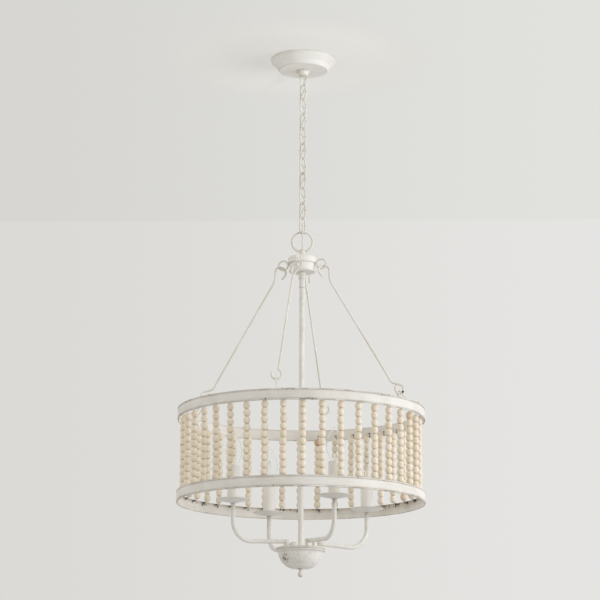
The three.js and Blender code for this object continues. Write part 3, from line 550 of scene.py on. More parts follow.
def make_canopy():
    face = -CANOPY_H + CANOPY_WALL
    canopy = lathe("canopy_dish", [
        (5.3, -CANOPY_H, 0.3), (CANOPY_FACE_R, -CANOPY_H, 0.5), (46.5, -21, 0.8), (50.5, -14.5, 6),
        (CANOPY_R, -CANOPY_RIM_H + 0.6, 3.5), (CANOPY_R, 0, 0.6), (CANOPY_R - CANOPY_WALL, 0, 0.4),
        (CANOPY_R - CANOPY_WALL, -CANOPY_RIM_H + 1, 2), (49.4, -13.4, 5), (45.2, face + 0.9, 1),
        (CANOPY_FACE_R - CANOPY_WALL, face, 0.6), (5.3, face, 0.3),
    ], PAINT_FINE, 96, closed=True)
    finish_piece(canopy, "canopy", "painted_metal", "canopy")
    collar = lathe("canopy_collar_nut", [
        (2.4, COLLAR_BOTTOM_Z, 0.3), (8.2, COLLAR_BOTTOM_Z, 0.8), (9.6, COLLAR_BOTTOM_Z + 1.8, 0.8),
        (9.6, COLLAR_TOP_Z - 2.8, 0.3), (13, COLLAR_TOP_Z - 2.4, 0.6), (13, COLLAR_TOP_Z, 0.5), (5, COLLAR_TOP_Z, 0),
        (5, -STRAP_T - SEAT_GAP, 0.3), (2.4, -STRAP_T - SEAT_GAP, 0.2),
    ], PAINT_WIRE, 40, closed=True)
    finish_piece(collar, "canopy", "painted_metal", "canopy_collar")
    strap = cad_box("mounting_strap_plate", (-50, -11, -STRAP_T), (50, 11, 0), STEEL)
    finish_piece(strap, "canopy", "strap_steel", "mounting_strap")


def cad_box(name, low, high, material, bevel=1.0):
    import bmesh
    mesh = bpy.data.meshes.new(name)
    bm = bmesh.new()
    bmesh.ops.create_cube(bm, size=1.0)
    for v in bm.verts:
        v.co = Vector([(low[i] + (v.co[i] + 0.5) * (high[i] - low[i])) * MM for i in range(3)])
    bmesh.ops.bevel(bm, geom=bm.edges[:], offset=bevel * 0.5 * MM, segments=3, affect="EDGES", profile=0.5)
    bm.to_mesh(mesh)
    bm.free()
    mesh.materials.append(material)
    piece = bpy.data.objects.new(name, mesh)
    bpy.context.scene.collection.objects.link(piece)
    return sharpen(piece)


def half_turn(centre_z, radius, first, steps=12):
    return [(radius * math.cos(first + math.pi * i / steps), 0, centre_z + radius * math.sin(first + math.pi * i / steps))
            for i in range(steps + 1)]


def make_chain():
    leg_top = COLLAR_BOTTOM_Z - SEAT_GAP
    bend_z = CHAIN_TOP_Z - LINK_SEAT + LINK_BEND_R
    path = [(-LINK_BEND_R, 0, leg_top), *half_turn(bend_z, LINK_BEND_R, math.pi), (LINK_BEND_R, 0, leg_top)]
    arrays = turned(tube_arrays([Vector(p) for p in path], LINK_WIRE_R), 135)
    loop = build("canopy_loop_wire", arrays[0], arrays[1], PAINT_WIRE, arrays[2])
    finish_piece(loop, "canopy", "painted_metal", "canopy_loop")
    for i in range(LINK_COUNT):
        top = CHAIN_TOP_Z - i * LINK_PITCH
        end_r, bow = LINK_BEND_R - 0.4, LINK_BEND_R + 0.4
        high = top + LINK_SEAT - end_r
        low = top - LINK_PITCH - LINK_SEAT + end_r
        middle = (high + low) / 2
        leg = (bow + end_r) / 2 + 0.25
        path = [(bow, 0, middle + LINK_SEAM / 2), (leg, 0, (middle + high) / 2),
                *half_turn(high, end_r, 0), (-leg, 0, (middle + high) / 2), (-bow, 0, middle),
                (-leg, 0, (middle + low) / 2), *half_turn(low, end_r, math.pi),
                (leg, 0, (middle + low) / 2), (bow, 0, middle - LINK_SEAM / 2)]
        path = curve_points(path, 2)
        arrays = turned(tube_arrays([Vector(p) for p in path], LINK_WIRE_R + 0.12), LINK_AZIMUTHS[i % 2])
        link = build(f"link_wire_{i + 1:02d}", arrays[0], arrays[1], PAINT_WIRE, arrays[2])
        finish_piece(link, f"link_{i + 1:02d}", "painted_metal", f"chain_link_{i + 1:02d}")


def make_cord():
    """The supply cord, cut at the middle of each link into stretches."""
    points = [(0, 0, -STRAP_T - 8), (0, 0, COLLAR_TOP_Z), (0, 0, COLLAR_BOTTOM_Z)]
    steps = LINK_COUNT * CORD_STEPS
    for i in range(-1, steps + 2):
        swing = CORD_WEAVE * math.cos(math.pi * i / CORD_STEPS)
        z = CHAIN_TOP_Z - LINK_PITCH * i / CORD_STEPS
        points.append((0, -swing, z) if i > steps - CORD_STEPS / 2 else (swing, 0, z))
    points += [(0, 0, CHAIN_BOTTOM_Z - LINK_PITCH / 2), (0, 0, LOOP_BOTTOM_Z + NUB_RISE), (0, 0, LOOP_BOTTOM_Z)]
    line = curve_points(points, 5)
    cuts = [1] + [CHAIN_TOP_Z - (k + 0.5) * LINK_PITCH for k in range(LINK_COUNT)] + [-10000]
    for k in range(LINK_COUNT + 1):
        inside = [i for i, p in enumerate(line) if cuts[k + 1] - 1e-6 <= p.z <= cuts[k] + 1e-6]
        first, last = max(0, inside[0] - (1 if k else 0)), inside[-1]
        stretch = line[first:last + 1]
        arrays = tube_arrays(stretch, CORD_R * 0.98, sides=14, flat_ends=True)
        piece = build(f"supply_cord_{k + 1:02d}", arrays[0], arrays[1], SHEATH)
        if k == 0:
            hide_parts("supply_cord")
        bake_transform(piece)


# Hub, hanging loop, eyes, stem

def ring_path(radius, count, x=0.0, z=0.0):
    return [Vector((x + radius * math.cos(2 * math.pi * i / count), 0, z + radius * math.sin(2 * math.pi * i / count)))
            for i in range(count)]


def make_hub():
    nub_top = LOOP_BOTTOM_Z + NUB_RISE
    # The ring's wire is at its CAD size where the chain's last link hangs, and thicker elsewhere.
    circle = ring_path(LOOP_R, 56, z=LOOP_CENTRE_Z)
    thick = [LOOP_WIRE_R + LOOP_EXTRA * min(1, max(0, (LOOP_CENTRE_Z + LOOP_R - p.z) / LOOP_R - 0.25)) for p in circle]
    ring = tube_arrays(circle, thick, sides=18, closed=True)
    nub = lathe_arrays(rounded([(0, LOOP_BOTTOM_Z - 2), (2, LOOP_BOTTOM_Z - 2, 0), (2, nub_top, 0.3),
                                (NUB_R - 0.4, nub_top, 1.2), (NUB_R, LOOP_BOTTOM_Z - 1, 1),
                                (NUB_R, HUB_TOP_Z + SEAT_GAP, 0.3), (0, HUB_TOP_Z + SEAT_GAP)]), 32)
    arrays = merged([ring, nub])
    loop = build("hanging_loop_ring", arrays[0], arrays[1], PAINT_WIRE, arrays[2])
    finish_piece(loop, "suspension", "painted_metal", "hanging_loop")
    hub = lathe("hub_drum", [
        (0, HUB_BOTTOM_Z), (HUB_FLANGE_R, HUB_BOTTOM_Z, 0.9), (HUB_FLANGE_R, HUB_BOTTOM_Z + HUB_FLANGE_H, 0.9),
        (HUB_BODY_R, HUB_BOTTOM_Z + HUB_FLANGE_H, 0.4), (HUB_BODY_R, HUB_TOP_Z - HUB_SHOULDER_H, 0.4),
        (HUB_TOP_R, HUB_TOP_Z - HUB_SHOULDER_H, 0.7), (HUB_TOP_R, HUB_TOP_Z, 5.5), (9, HUB_TOP_Z, 0), (0, HUB_TOP_Z),
    ], PAINT_FINE, 72)
    finish_piece(hub, "suspension", "painted_metal", "hub")
    for name, (azimuth, _, _) in RODS.items():
        ring = tube_arrays(ring_path(EYE_R, 36, EYE_OUT_R, EYE_Z), EYE_WIRE_R * 0.96, sides=12, closed=True)
        shank = tube_arrays([Vector((x, 0, EYE_Z)) for x in (HUB_BODY_R + SEAT_GAP, 25.5, EYE_OUT_R - EYE_R)],
                            EYE_WIRE_R, sides=12, flat_ends=True)
        boss = lathe_arrays(rounded([(0, 0), (2.6, 0, 0.3), (2.2, 1.2, 0.5), (0, 1.4)]), 16)
        boss = ([(HUB_BODY_R + 0.1 + z, y, EYE_Z + x) for x, y, z in boss[0]], boss[1], boss[2])
        arrays = turned(merged([ring, shank, boss]), azimuth)
        eye = build(f"hub_eye_ring_{name}", arrays[0], arrays[1], PAINT_WIRE, arrays[2])
        finish_piece(eye, "suspension", "painted_metal", f"hub_eye_{name}")
    top, step = HUB_BOTTOM_Z - SEAT_GAP, HUB_BOTTOM_Z - SEAT_GAP - 13
    collar = lathe("stem_collar_sleeve", [
        (0, STEM_TOP_Z + SEAT_GAP), (5.6, STEM_TOP_Z + SEAT_GAP, 0.4), (5.6, step, 0.3), (6.5, step, 0.5),
        (6.5, top, 0.4), (0, top),
    ], PAINT, 36)
    finish_piece(collar, "suspension", "painted_metal", "stem_collar")
    stem_bottom = BOWL_BOTTOM_Z + BOWL_WALL + SEAT_GAP
    stem = lathe("stem_tube", [(0, stem_bottom), (5, stem_bottom, 0.4), (5, STEM_TOP_Z, 0.4), (0, STEM_TOP_Z)], PAINT, 36)
    finish_piece(stem, "suspension", "painted_metal", "stem")


# Hanging rods

def rod_points(turn, sides=None):
    """The wire's line along +X: upper hook, straight run, and the hook round the eyelet."""
    contact = math.radians(EYE_CONTACT)
    reach = EYE_R - EYE_WIRE_R - ROD_WIRE_R - SEAT_GAP - ROD_HOOK_LIFT
    cross_r = EYE_OUT_R + reach * math.sin(contact)
    cross_z = EYE_Z - reach * math.cos(contact)
    points = []
    for i, (out, side, up) in enumerate(UPPER_HOOK):
        side = sides[i] if sides else side
        points.append((cross_r + out * ROD_HOOK_R, side * ROD_HOOK_R, cross_z + up * ROD_HOOK_R))
    centre_z = DRUM_HOOK_Z + ROD_HOOK_R
    end = (DRUM_HOOK_R - 1.65 * ROD_HOOK_R, 0, centre_z + 1.52 * ROD_HOOK_R)
    start = points[-1]
    for t in (0.1, 0.5, 0.9):
        points.append(tuple(start[i] + (end[i] - start[i]) * t for i in range(3)))
    side = 0.2 * ROD_HOOK_R
    points.append(end)
    points.append((DRUM_HOOK_R - side * math.sin(turn) - 0.8 * ROD_HOOK_R, side * math.cos(turn),
                   centre_z + 1.14 * ROD_HOOK_R))
    for i in range(11):
        angle = math.radians(46 - 268 * i / 10)
        side = ROD_HOOK_R * math.cos(angle)
        points.append((DRUM_HOOK_R - side * math.sin(turn), side * math.cos(turn),
                       centre_z + ROD_HOOK_R * math.sin(angle)))
    return points


# Middle and reach of a place on the right rod's lower hook that is coloured with the dark knot wire material.
DARK_HOOK_SPOT = (182.4, -40.7, -644.5)
DARK_HOOK_SPOT_REACH = 4.2


def make_rods():
    for name, (azimuth, turn, _) in RODS.items():
        line = curve_points(rod_points(math.radians(turn), FRONT_HOOK_SIDES if name == "front" else None), 4)
        arrays = turned(tube_arrays(line, ROD_WIRE_R * 0.97, sides=16), azimuth)
        rod = build(f"rod_wire_{name}", arrays[0], arrays[1], PAINT_WIRE, arrays[2])
        rod.data.materials.append(KNOT)
        for polygon in rod.data.polygons:
            if math.dist(polygon.center / MM, DARK_HOOK_SPOT) < DARK_HOOK_SPOT_REACH:
                polygon.material_index = 1
        finish_piece(rod, f"rod_{name}", "painted_metal", f"hanging_rod_{name}")


# Drum: hoops, eyelets, bead strings

def eyelet_arrays(hook_turn, turn):
    """The wire loop round a rod's hook, along +X, turned to meet the hoop beside the rod."""
    tilt = math.radians(EYELET_TILT)
    back = EYELET_HALF_W - (ROD_WIRE_R + EYELET_WIRE_R + SEAT_GAP) / math.cos(hook_turn - turn)

    def point(distance, offset):
        return ((back + distance) * math.cos(tilt) + offset * math.sin(tilt), 0,
                DRUM_HOOK_Z - (back + distance) * math.sin(tilt) + offset * math.cos(tilt))

    weld_r, weld_z = (DRUM_R + HOOP_IN_R) / 2, TOP_HOOP_Z - 2 * EYELET_WIRE_R
    reach = math.sqrt(weld_r ** 2 - (DRUM_HOOK_R * math.sin(turn)) ** 2) - DRUM_HOOK_R * math.cos(turn)
    length = reach / math.cos(tilt) - back
    points = [(reach, 0, weld_z - 2 * EYELET_WIRE_R), point(length - 2 * EYELET_HALF_W, -EYELET_HALF_W)]
    for i in range(7):
        angle = -math.pi / 2 - math.pi * i / 6
        points.append(point(EYELET_HALF_W * math.cos(angle), EYELET_HALF_W * math.sin(angle)))
    points += [point(length - 2 * EYELET_HALF_W, EYELET_HALF_W), (reach, 0, weld_z)]
    line = curve_points(points, 5)
    for p in line:
        share = max(0.0, min(1.0, (p.x - back) / (reach - back)))
        p.z -= EYELET_SAG * math.sin(math.pi * share)
    vertices, faces, wear_and_shade = tube_arrays(line, EYELET_WIRE_R, sides=12)
    c, s = math.cos(turn), math.sin(turn)
    return [(DRUM_HOOK_R + x * c - y * s, x * s + y * c, z) for x, y, z in vertices], faces, wear_and_shade


def hoop_corners(top):
    """The band with a small rolled bead of metal along each edge."""
    bottom = top - HOOP_H
    return [(HOOP_IN_R, bottom, 0.5), (DRUM_R, bottom, 0.7), (DRUM_R, bottom + 2.2, 0.5), (DRUM_R - 0.35, bottom + 2.9, 0.5),
            (DRUM_R - 0.35, top - 2.9, 0.5), (DRUM_R, top - 2.2, 0.5), (DRUM_R, top, 0.7), (HOOP_IN_R, top, 0.5),
            (HOOP_IN_R, top - 7, 0)]


def hole_arrays(radius, azimuth, z, size):
    """A small drilled hole in a hoop's inner face: a raised rim round a shallow dark cup, which paints the shade inside
    the hole.
    """
    arrays = lathe_arrays([(0, 0.1, 0), (size * 0.85, 0.1, 0), (size, 0.3, 0), (size * 1.2, 0.1, 0),
                           (size * 1.25, -0.5, 0)], 14)
    vertices = [(radius - z0, y0, z + x0) for x0, y0, z0 in arrays[0]]
    return turned((vertices, arrays[1], arrays[2]), azimuth)


HOLE_HEIGHTS = (3.2, 8)


def make_hoops():
    band = lathe_arrays(rounded(hoop_corners(TOP_HOOP_Z), True), 180, True)
    eyelets = [turned(eyelet_arrays(math.radians(hook_turn), math.radians(turn)), azimuth)
               for azimuth, hook_turn, turn in RODS.values()]
    arrays = merged([band, *eyelets])
    top = build("top_hoop_band", arrays[0], arrays[1], PAINT_HOOP, arrays[2])
    top.data.materials.append(PAINT_WIRE)
    for polygon in top.data.polygons:
        if polygon.index >= len(band[1]):
            polygon.material_index = 1
    finish_piece(top, "drum", "painted_metal", "top_hoop")
    arrays = lathe_arrays(rounded(hoop_corners(BOTTOM_HOOP_Z), True), 180, True)
    # Painted shade, with some dirt: the upper inner face of the lower hoop gets high values, highest in a strip under
    # its top edge and growing towards +X, the side turned from the window, so its paint comes out darker and browner
    # there.
    for i, (x, y, z) in enumerate(arrays[0]):
        if math.hypot(x, y) < HOOP_IN_R + 0.2 and z > BOTTOM_HOOP_Z - 8:
            painted_shade_share = max(0, x) / DRUM_R
            arrays[2][i] = 1.2 + 0.3 * painted_shade_share if z > BOTTOM_HOOP_Z - 2.4 else 0.9 * painted_shade_share
    bottom = build("bottom_hoop_band", arrays[0], arrays[1], PAINT_HOOP, arrays[2])
    finish_piece(bottom, "lower_hoop", "painted_metal", "bottom_hoop")
    holes = []
    for i in range(STRINGS):
        azimuth = FIRST_STRING + i * 360 / STRINGS
        for height in HOLE_HEIGHTS:
            holes.append(hole_arrays(HOOP_IN_R, azimuth, TOP_HOOP_BOTTOM_Z + height, rng.uniform(1.1, 1.6)))
    arrays = merged(holes)
    finish_piece(build("top_hoop_holes", arrays[0], arrays[1], HOLE_SHADE), "drum", "painted_metal")


def bead_outline():
    """Outline of one barrel-shaped bead, from its lower hole rim to its upper one."""
    hole, face, power, steps = 1.3, 2.9, 0.92, 12
    half = (STRING_TOP_Z - BOTTOM_HOOP_Z) / BEADS / 2 - 0.02
    first = math.asin((face / BEAD_R) ** (1 / power))
    points = [(hole, -half + 0.9, 1), (hole + 0.3, -half + 0.1, 1)]
    for i in range(steps + 1):
        angle = first + (math.pi - 2 * first) * i / steps
        lift = math.copysign(abs(math.cos(angle)) ** power, -math.cos(angle)) / math.cos(first) ** power
        # The third value grows towards the bead's ends; it paints the shade where beads meet.
        points.append((BEAD_R * math.sin(angle) ** power, half * lift, abs(lift) ** 2))
    points += [(hole + 0.3, half - 0.1, 1), (hole, half - 0.9, 1)]
    return points


# The odd darker beads, by string and by place from the bottom, with their shades.
TAN_BEADS = {(20, 9): 2.0, (8, 9): 1.5, (14, 0): 1.45, (23, 3): 1.5, (31, 6): 1.6}


def make_strings():
    outline = bead_outline()
    pitch = (STRING_TOP_Z - BOTTOM_HOOP_Z) / BEADS
    ties = []
    for i in range(STRINGS):
        azimuth = FIRST_STRING + i * 360 / STRINGS
        vertices, faces, shades, grains, wear_and_shade = [], [], [], [], []
        for k in range(BEADS):
            size = rng.uniform(0.93, 1.0)
            lean = Matrix.Rotation(math.radians(rng.uniform(-2.5, 2.5)), 3, "X") @ Matrix.Rotation(
                math.radians(rng.uniform(-2.5, 2.5)), 3, "Y")
            grain = Matrix.Rotation(rng.uniform(0, 6.28), 3, "Z") @ Matrix.Rotation(
                rng.uniform(-0.5, 0.5), 3, "X")
            offset = Vector([rng.uniform(-500, 500) for _ in range(3)])
            middle = Vector((STRING_R + rng.uniform(-0.45, 0.2), rng.uniform(-0.4, 0.4),
                             BOTTOM_HOOP_Z + (k + 0.5) * pitch))
            bead, bead_faces, ends = lathe_arrays(outline, 24, closed=True)
            wear_and_shade += ends
            shade = TAN_BEADS.get((i + 1, k), min(1.0, max(0.0, rng.gauss(0.45, 0.25))))
            base = len(vertices)
            for v in bead:
                local = Vector((v[0] * size, v[1] * size, v[2]))
                grains.append(tuple(((grain @ local) + offset) * MM))
                vertices.append(tuple(lean @ local + middle))
                shades.append(shade)
            faces += [tuple(n + base for n in face) for face in bead_faces]
        placed = turned((vertices, faces, shades), azimuth)
        piece = build(f"bead_string_{i + 1:02d}", placed[0], placed[1], WOOD, wear_and_shade)
        piece.data.attributes.new("shade", "FLOAT", "POINT").data.foreach_set("value", shades)
        flat = [c for g in grains for c in g]
        piece.data.attributes.new("grain", "FLOAT_VECTOR", "POINT").data.foreach_set("vector", flat)
        if i % PER_CURTAIN == 0:
            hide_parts(f"bead_curtain_{i // PER_CURTAIN + 1}")
        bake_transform(piece)
        cords = []
        for height in HOLE_HEIGHTS:
            path = [(HOOP_IN_R - 0.1, 0, TOP_HOOP_BOTTOM_Z + height), (STRING_R + 3.4, 0.2, STRING_TOP_Z + 1.2),
                    (STRING_R, 0.2, STRING_TOP_Z - 1), (STRING_R, 0.2, BOTTOM_HOOP_Z + 1),
                    (STRING_R + 3, 0.4, BOTTOM_HOOP_Z - 1.5), (STRING_SEAT_R, 0.6, BOTTOM_HOOP_Z - STRING_TAIL_H)]
            cords.append(tube_arrays(curve_points(path, 4), 0.4, sides=8))
        arrays = turned(merged(cords), azimuth)
        yarn = build(f"bead_cord_{i + 1:02d}", arrays[0], arrays[1], YARN)
        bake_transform(yarn)
        for side in (-1, 1):
            bend, drop = rng.uniform(-1.5, 1.5), rng.uniform(3, 8)
            tie = [(STRING_R + 3.5, side * (bend - 3.4), BOTTOM_HOOP_Z - 0.8),
                   (STRING_R + 5.5, side * -1, BOTTOM_HOOP_Z - 2.8 + bend),
                   (STRING_R + 6.8, side * 1.6, BOTTOM_HOOP_Z - 2),
                   (STRING_SEAT_R - 0.6, side * (4 + bend), BOTTOM_HOOP_Z - drop)]
            ties.append(turned(tube_arrays(curve_points(tie, 4), rng.uniform(0.5, 0.9), sides=8), azimuth))
    arrays = merged(ties)
    finish_piece(build("bottom_hoop_ties", arrays[0], arrays[1], KNOT), "lower_hoop", "painted_metal")


# Arms, pans, candles, bulbs

def arm_path():
    bend_z, bend_r = ARM_RUN_Z + ARM_BEND_R, ARM_OUT_R - ARM_BEND_R
    points = [(ARM_OUT_R, 0, PAN_BOTTOM_Z - SEAT_GAP), (ARM_OUT_R, 0, bend_z + 12)]
    for i in range(13):
        angle = -math.pi / 2 * i / 12
        points.append((bend_r + ARM_BEND_R * math.cos(angle), 0, bend_z + ARM_BEND_R * math.sin(angle)))
    foot_z = ARM_RUN_Z + ARM_RISE
    for t in (0.25, 0.5, 0.75, 1.0):
        points.append((bend_r + (ARM_FOOT_R + 2.4 - bend_r) * t, 0, ARM_RUN_Z + (foot_z - ARM_RUN_Z) * t))
    return points


def make_arms():
    for name, azimuth in ARMS.items():
        run = tube_arrays([Vector(p) for p in arm_path()], ARM_TUBE_R * 0.99, sides=20)
        post_top = ARM_RUN_Z + ARM_RISE + ARM_TUBE_R
        post = lathe_arrays(rounded([(0, ARM_BOTTOM_Z), (FERRULE_R, ARM_BOTTOM_Z, 0.3), (FERRULE_R, post_top - 0.4, 1.2),
                                     (0, post_top)]), 28)
        arrays = turned(merged([run, moved(post, ARM_FOOT_R)]), azimuth)
        arm = build(f"arm_tube_{name}", arrays[0], arrays[1], PAINT, arrays[2])
        finish_piece(arm, "suspension", "painted_metal", f"arm_{name}")
        pan = rounded([
            (0, PAN_BOTTOM_Z), (5.2, PAN_BOTTOM_Z, 0.4), (PAN_HUB_R, PAN_BOTTOM_Z + 0.9, 6),
            (PAN_R, PAN_TOP_Z + PAN_RIM_RISE - 1.3, 0.5), (PAN_R, PAN_TOP_Z + PAN_RIM_RISE, 0.45),
            (PAN_R - 1.4, PAN_TOP_Z + PAN_RIM_RISE, 0.5), (PAN_SEAT_R, PAN_TOP_Z - 0.2, 5), (0, PAN_TOP_Z),
        ])
        put(f"drip_pan_dish_{name}", pan, azimuth, PAINT, "painted_metal", f"drip_pan_{name}")
        sleeve = rounded([
            (SLEEVE_R - SLEEVE_WALL, SLEEVE_BOTTOM_Z, 0.3), (SLEEVE_R, SLEEVE_BOTTOM_Z, 0.4),
            (SLEEVE_R, SLEEVE_TOP_Z, 0.6), (SLEEVE_R - SLEEVE_WALL, SLEEVE_TOP_Z, 0.5),
        ], True)
        put(f"candle_tube_{name}", sleeve, azimuth, PAINT_SLEEVE, "candle_sleeve", f"candle_sleeve_{name}", closed=True)
        socket = rounded([
            (0, SLEEVE_BOTTOM_Z), (SOCKET_R, SLEEVE_BOTTOM_Z, 0.5), (SOCKET_R, SOCKET_TOP_Z, 0.6),
            (SOCKET_BORE_R, SOCKET_TOP_Z, 0.5), (SOCKET_BORE_R, SOCKET_FLOOR_Z, 0.3), (0, SOCKET_FLOOR_Z),
        ])
        put(f"socket_body_{name}", socket, azimuth, SOCKET, "lamp_socket", f"lamp_socket_{name}")
        make_bulb(name, azimuth)


def put(name, outline, azimuth, material, slot, node=None, closed=False, segments=56, out=ARM_OUT_R):
    arrays = turned(moved(lathe_arrays(outline, segments, closed), out), azimuth)
    piece = build(name, arrays[0], arrays[1], material, arrays[2])
    finish_piece(piece, "suspension", slot, *([node] if node else []))
    return piece


def make_bulb(name, azimuth):
    base_z = SOCKET_FLOOR_Z + SEAT_GAP
    neck_z = SLEEVE_TOP_Z - 4
    screw = [(0, base_z, 0), (3.2, base_z, 0), (4.6, base_z + 1.6, 0)]
    for i in range(29):
        z = base_z + 3 + (neck_z - base_z - 4) * i / 28
        screw.append((5.55 + 0.4 * math.sin(i * math.pi / 2), z, 0))
    screw += [(5.7, neck_z, 0), (0, neck_z, 0)]
    put(f"bulb_base_{name}", screw, azimuth, NICKEL, "bulb_glass", segments=32)
    shape = [(5.2, neck_z - SLEEVE_TOP_Z), (6.2, 1.5), (8.1, 6), (10.6, 11), (13.2, 17), (14.9, 22.5),
             (15.45, 27), (15.0, 32), (13.4, 38), (10.9, 44.5), (8.0, 51), (5.2, 56.5), (2.9, 60.5), (1.3, 62.6)]
    line = curve_points([(r, 0, SLEEVE_TOP_Z + h) for r, h in shape], 3)
    outer = [(p.x, p.z, 0) for p in line]
    tip = SLEEVE_TOP_Z + 62.95
    inner = [(max(p.x - 0.55, 0.4), p.z - 0.25, 0) for p in line[1:]]
    outline = [*outer, (0, tip, 0), (0, tip - 1.1, 0), *inner[::-1], (outer[0][0] - 0.6, outer[0][1], 0)]
    arrays = lathe_arrays(outline, 48, True)
    arrays = turned(moved(arrays, ARM_OUT_R), azimuth)
    bulb = build(f"bulb_shell_{name}", arrays[0], arrays[1], GLASS)
    finish_piece(bulb, "suspension", "bulb_glass", f"bulb_{name}")
    stem = rounded([(0, neck_z), (3.6, neck_z, 0.4), (2.1, SLEEVE_TOP_Z + 7, 3), (1.5, SLEEVE_TOP_Z + 15, 0.6), (0, SLEEVE_TOP_Z + 15.6)])
    put(f"bulb_stem_{name}", stem, azimuth, GLASS, "bulb_glass", segments=24)
    wires = []
    for side in (-1, 1):
        wires.append(tube_arrays(curve_points([(side * 1.2, 0, SLEEVE_TOP_Z + 14), (side * 3, 0, SLEEVE_TOP_Z + 22),
                                               (side * 4.4, 0, SLEEVE_TOP_Z + 33)], 4), 0.18, sides=6))
    coil = [(x * 4.4, 0.5 * math.sin(x * 40), SLEEVE_TOP_Z + 33 + 3.2 * (1 - x * x) + 0.5 * math.cos(x * 40))
            for x in (i / 40 - 1 for i in range(81))]
    wires.append(tube_arrays([Vector(p) for p in coil], 0.12, sides=5))
    arrays = turned(moved(merged(wires), ARM_OUT_R), azimuth)
    finish_piece(build(f"bulb_filament_{name}", arrays[0], arrays[1], TUNGSTEN), "suspension", "bulb_glass")


# Plate, bowl, finial

# Middle and reach of the chipped place on the bowl.
CHIPPED_SPOT = (-29, -26, -943)
CHIPPED_R = 17


def make_bowl():
    plate = lathe("arm_plate_disc", [
        (5.3, PLATE_TOP_Z - PLATE_T, 0.3), (PLATE_R - 0.6, PLATE_TOP_Z - PLATE_T, 0.8), (PLATE_R, PLATE_TOP_Z - 1.4, 0.8),
        (PLATE_R - 1.5, PLATE_TOP_Z, 0.9), (5.3, PLATE_TOP_Z, 0.3),
    ], PAINT_HOOP, 80, closed=True)
    finish_piece(plate, "suspension", "painted_metal", "arm_plate")
    depth, lip = BOWL_DEPTH - BOWL_LIP, BOWL_TOP_Z - BOWL_LIP
    shares = [(0.975, 0.02), (0.955, 0.17), (0.92, 0.34), (0.865, 0.5), (0.79, 0.65), (0.69, 0.79), (0.58, 0.9),
              (0.47, 0.965)]
    side = [(r * BOWL_R * 0.985, lip - d * depth) for r, d in shares]
    outer = [(0, BOWL_BOTTOM_Z), (BOWL_FLOOR_R * 0.8, BOWL_BOTTOM_Z, 0)] + [(r, z, 0) for r, z in side[::-1]]
    outer += [(PLATE_R - 0.5, lip, 0.6), (PLATE_R - 0.5, BOWL_TOP_Z, 0.4), (BOWL_R - BOWL_WALL, BOWL_TOP_Z, 0.5)]
    outer += [(r - BOWL_WALL, z + 0.6, 0) for r, z in side] + [(BOWL_FLOOR_R * 0.8, BOWL_BOTTOM_Z + BOWL_WALL, 0),
                                                             (0, BOWL_BOTTOM_Z + BOWL_WALL)]
    vertices, faces, wear_and_shade = lathe_arrays(rounded(outer), 96)
    for i, (x, y, z) in enumerate(vertices):
        away = math.dist((x, y, z), CHIPPED_SPOT)
        wear_and_shade[i] = max(wear_and_shade[i] * 0.3, 0.4 * (1 - away / CHIPPED_R / 3), 1.45 * (1 - away / CHIPPED_R))
    bowl = build("bowl_shell", vertices, faces, PAINT_BOWL, wear_and_shade)
    finish_piece(bowl, "suspension", "painted_metal", "bowl")
    top = BOWL_BOTTOM_Z - SEAT_GAP
    ball_z = top - FINIAL_NECK_H - FINIAL_BALL_R
    outline = [(FINIAL_BALL_R * math.sin(a), ball_z - FINIAL_BALL_R * math.cos(a), 0)
               for a in (math.radians(d) for d in range(0, 145, 8))]
    outline[0] = (0, outline[0][1], 0)
    outline += [(2.5, ball_z + 5.6, 0), (3.0, top - 2.2, 0.3), (4.2, top - 1.5, 0.5), (4.2, top, 0.3), (0, top, 0)]
    vertices, faces, wear_and_shade = lathe_arrays(outline, 36)
    # Painted shade: the underside of the ball and the neck under the bowl get full values, so their paint comes out
    # darker and browner.
    wear_and_shade = [1.0 if z < ball_z - 2.5 or z > top - 3 else 0.2 for x, y, z in vertices]
    finial = build("finial_ball", vertices, faces, PAINT_HOOP, wear_and_shade)
    finish_piece(finial, "suspension", "painted_metal", "finial")


make_canopy()
make_chain()
make_cord()
make_hub()
make_rods()
make_hoops()
make_strings()
make_arms()
make_bowl()


# Room, light and camera

# Height over distance at which the ceiling meets the wall, seen from the camera.
SEAM_SLOPE = 0.2632
SEAM_TILT = 0.0111
# Colour that the ceiling patch scatters, and the part of its colour that no shadow changes.
CEILING_ALBEDO = [0.8, 0.8, 0.78, 1]
CEILING_GLOW = [0.268, 0.263, 0.251, 1]
# Painted shadow: how far the glow fades beside the canopy, and where it is weakest, a little to its left; it also evens
# out the bounce spot's light there.
CEILING_SHADOW_GLOW = 0.7
CEILING_SHADOW_CENTRE = (-0.03, 0, 0)
# World light from straight above and from straight below, and how much more comes from the left.
ABOVE, BELOW, SIDEWAYS = 0.8, 0.44, 0.08


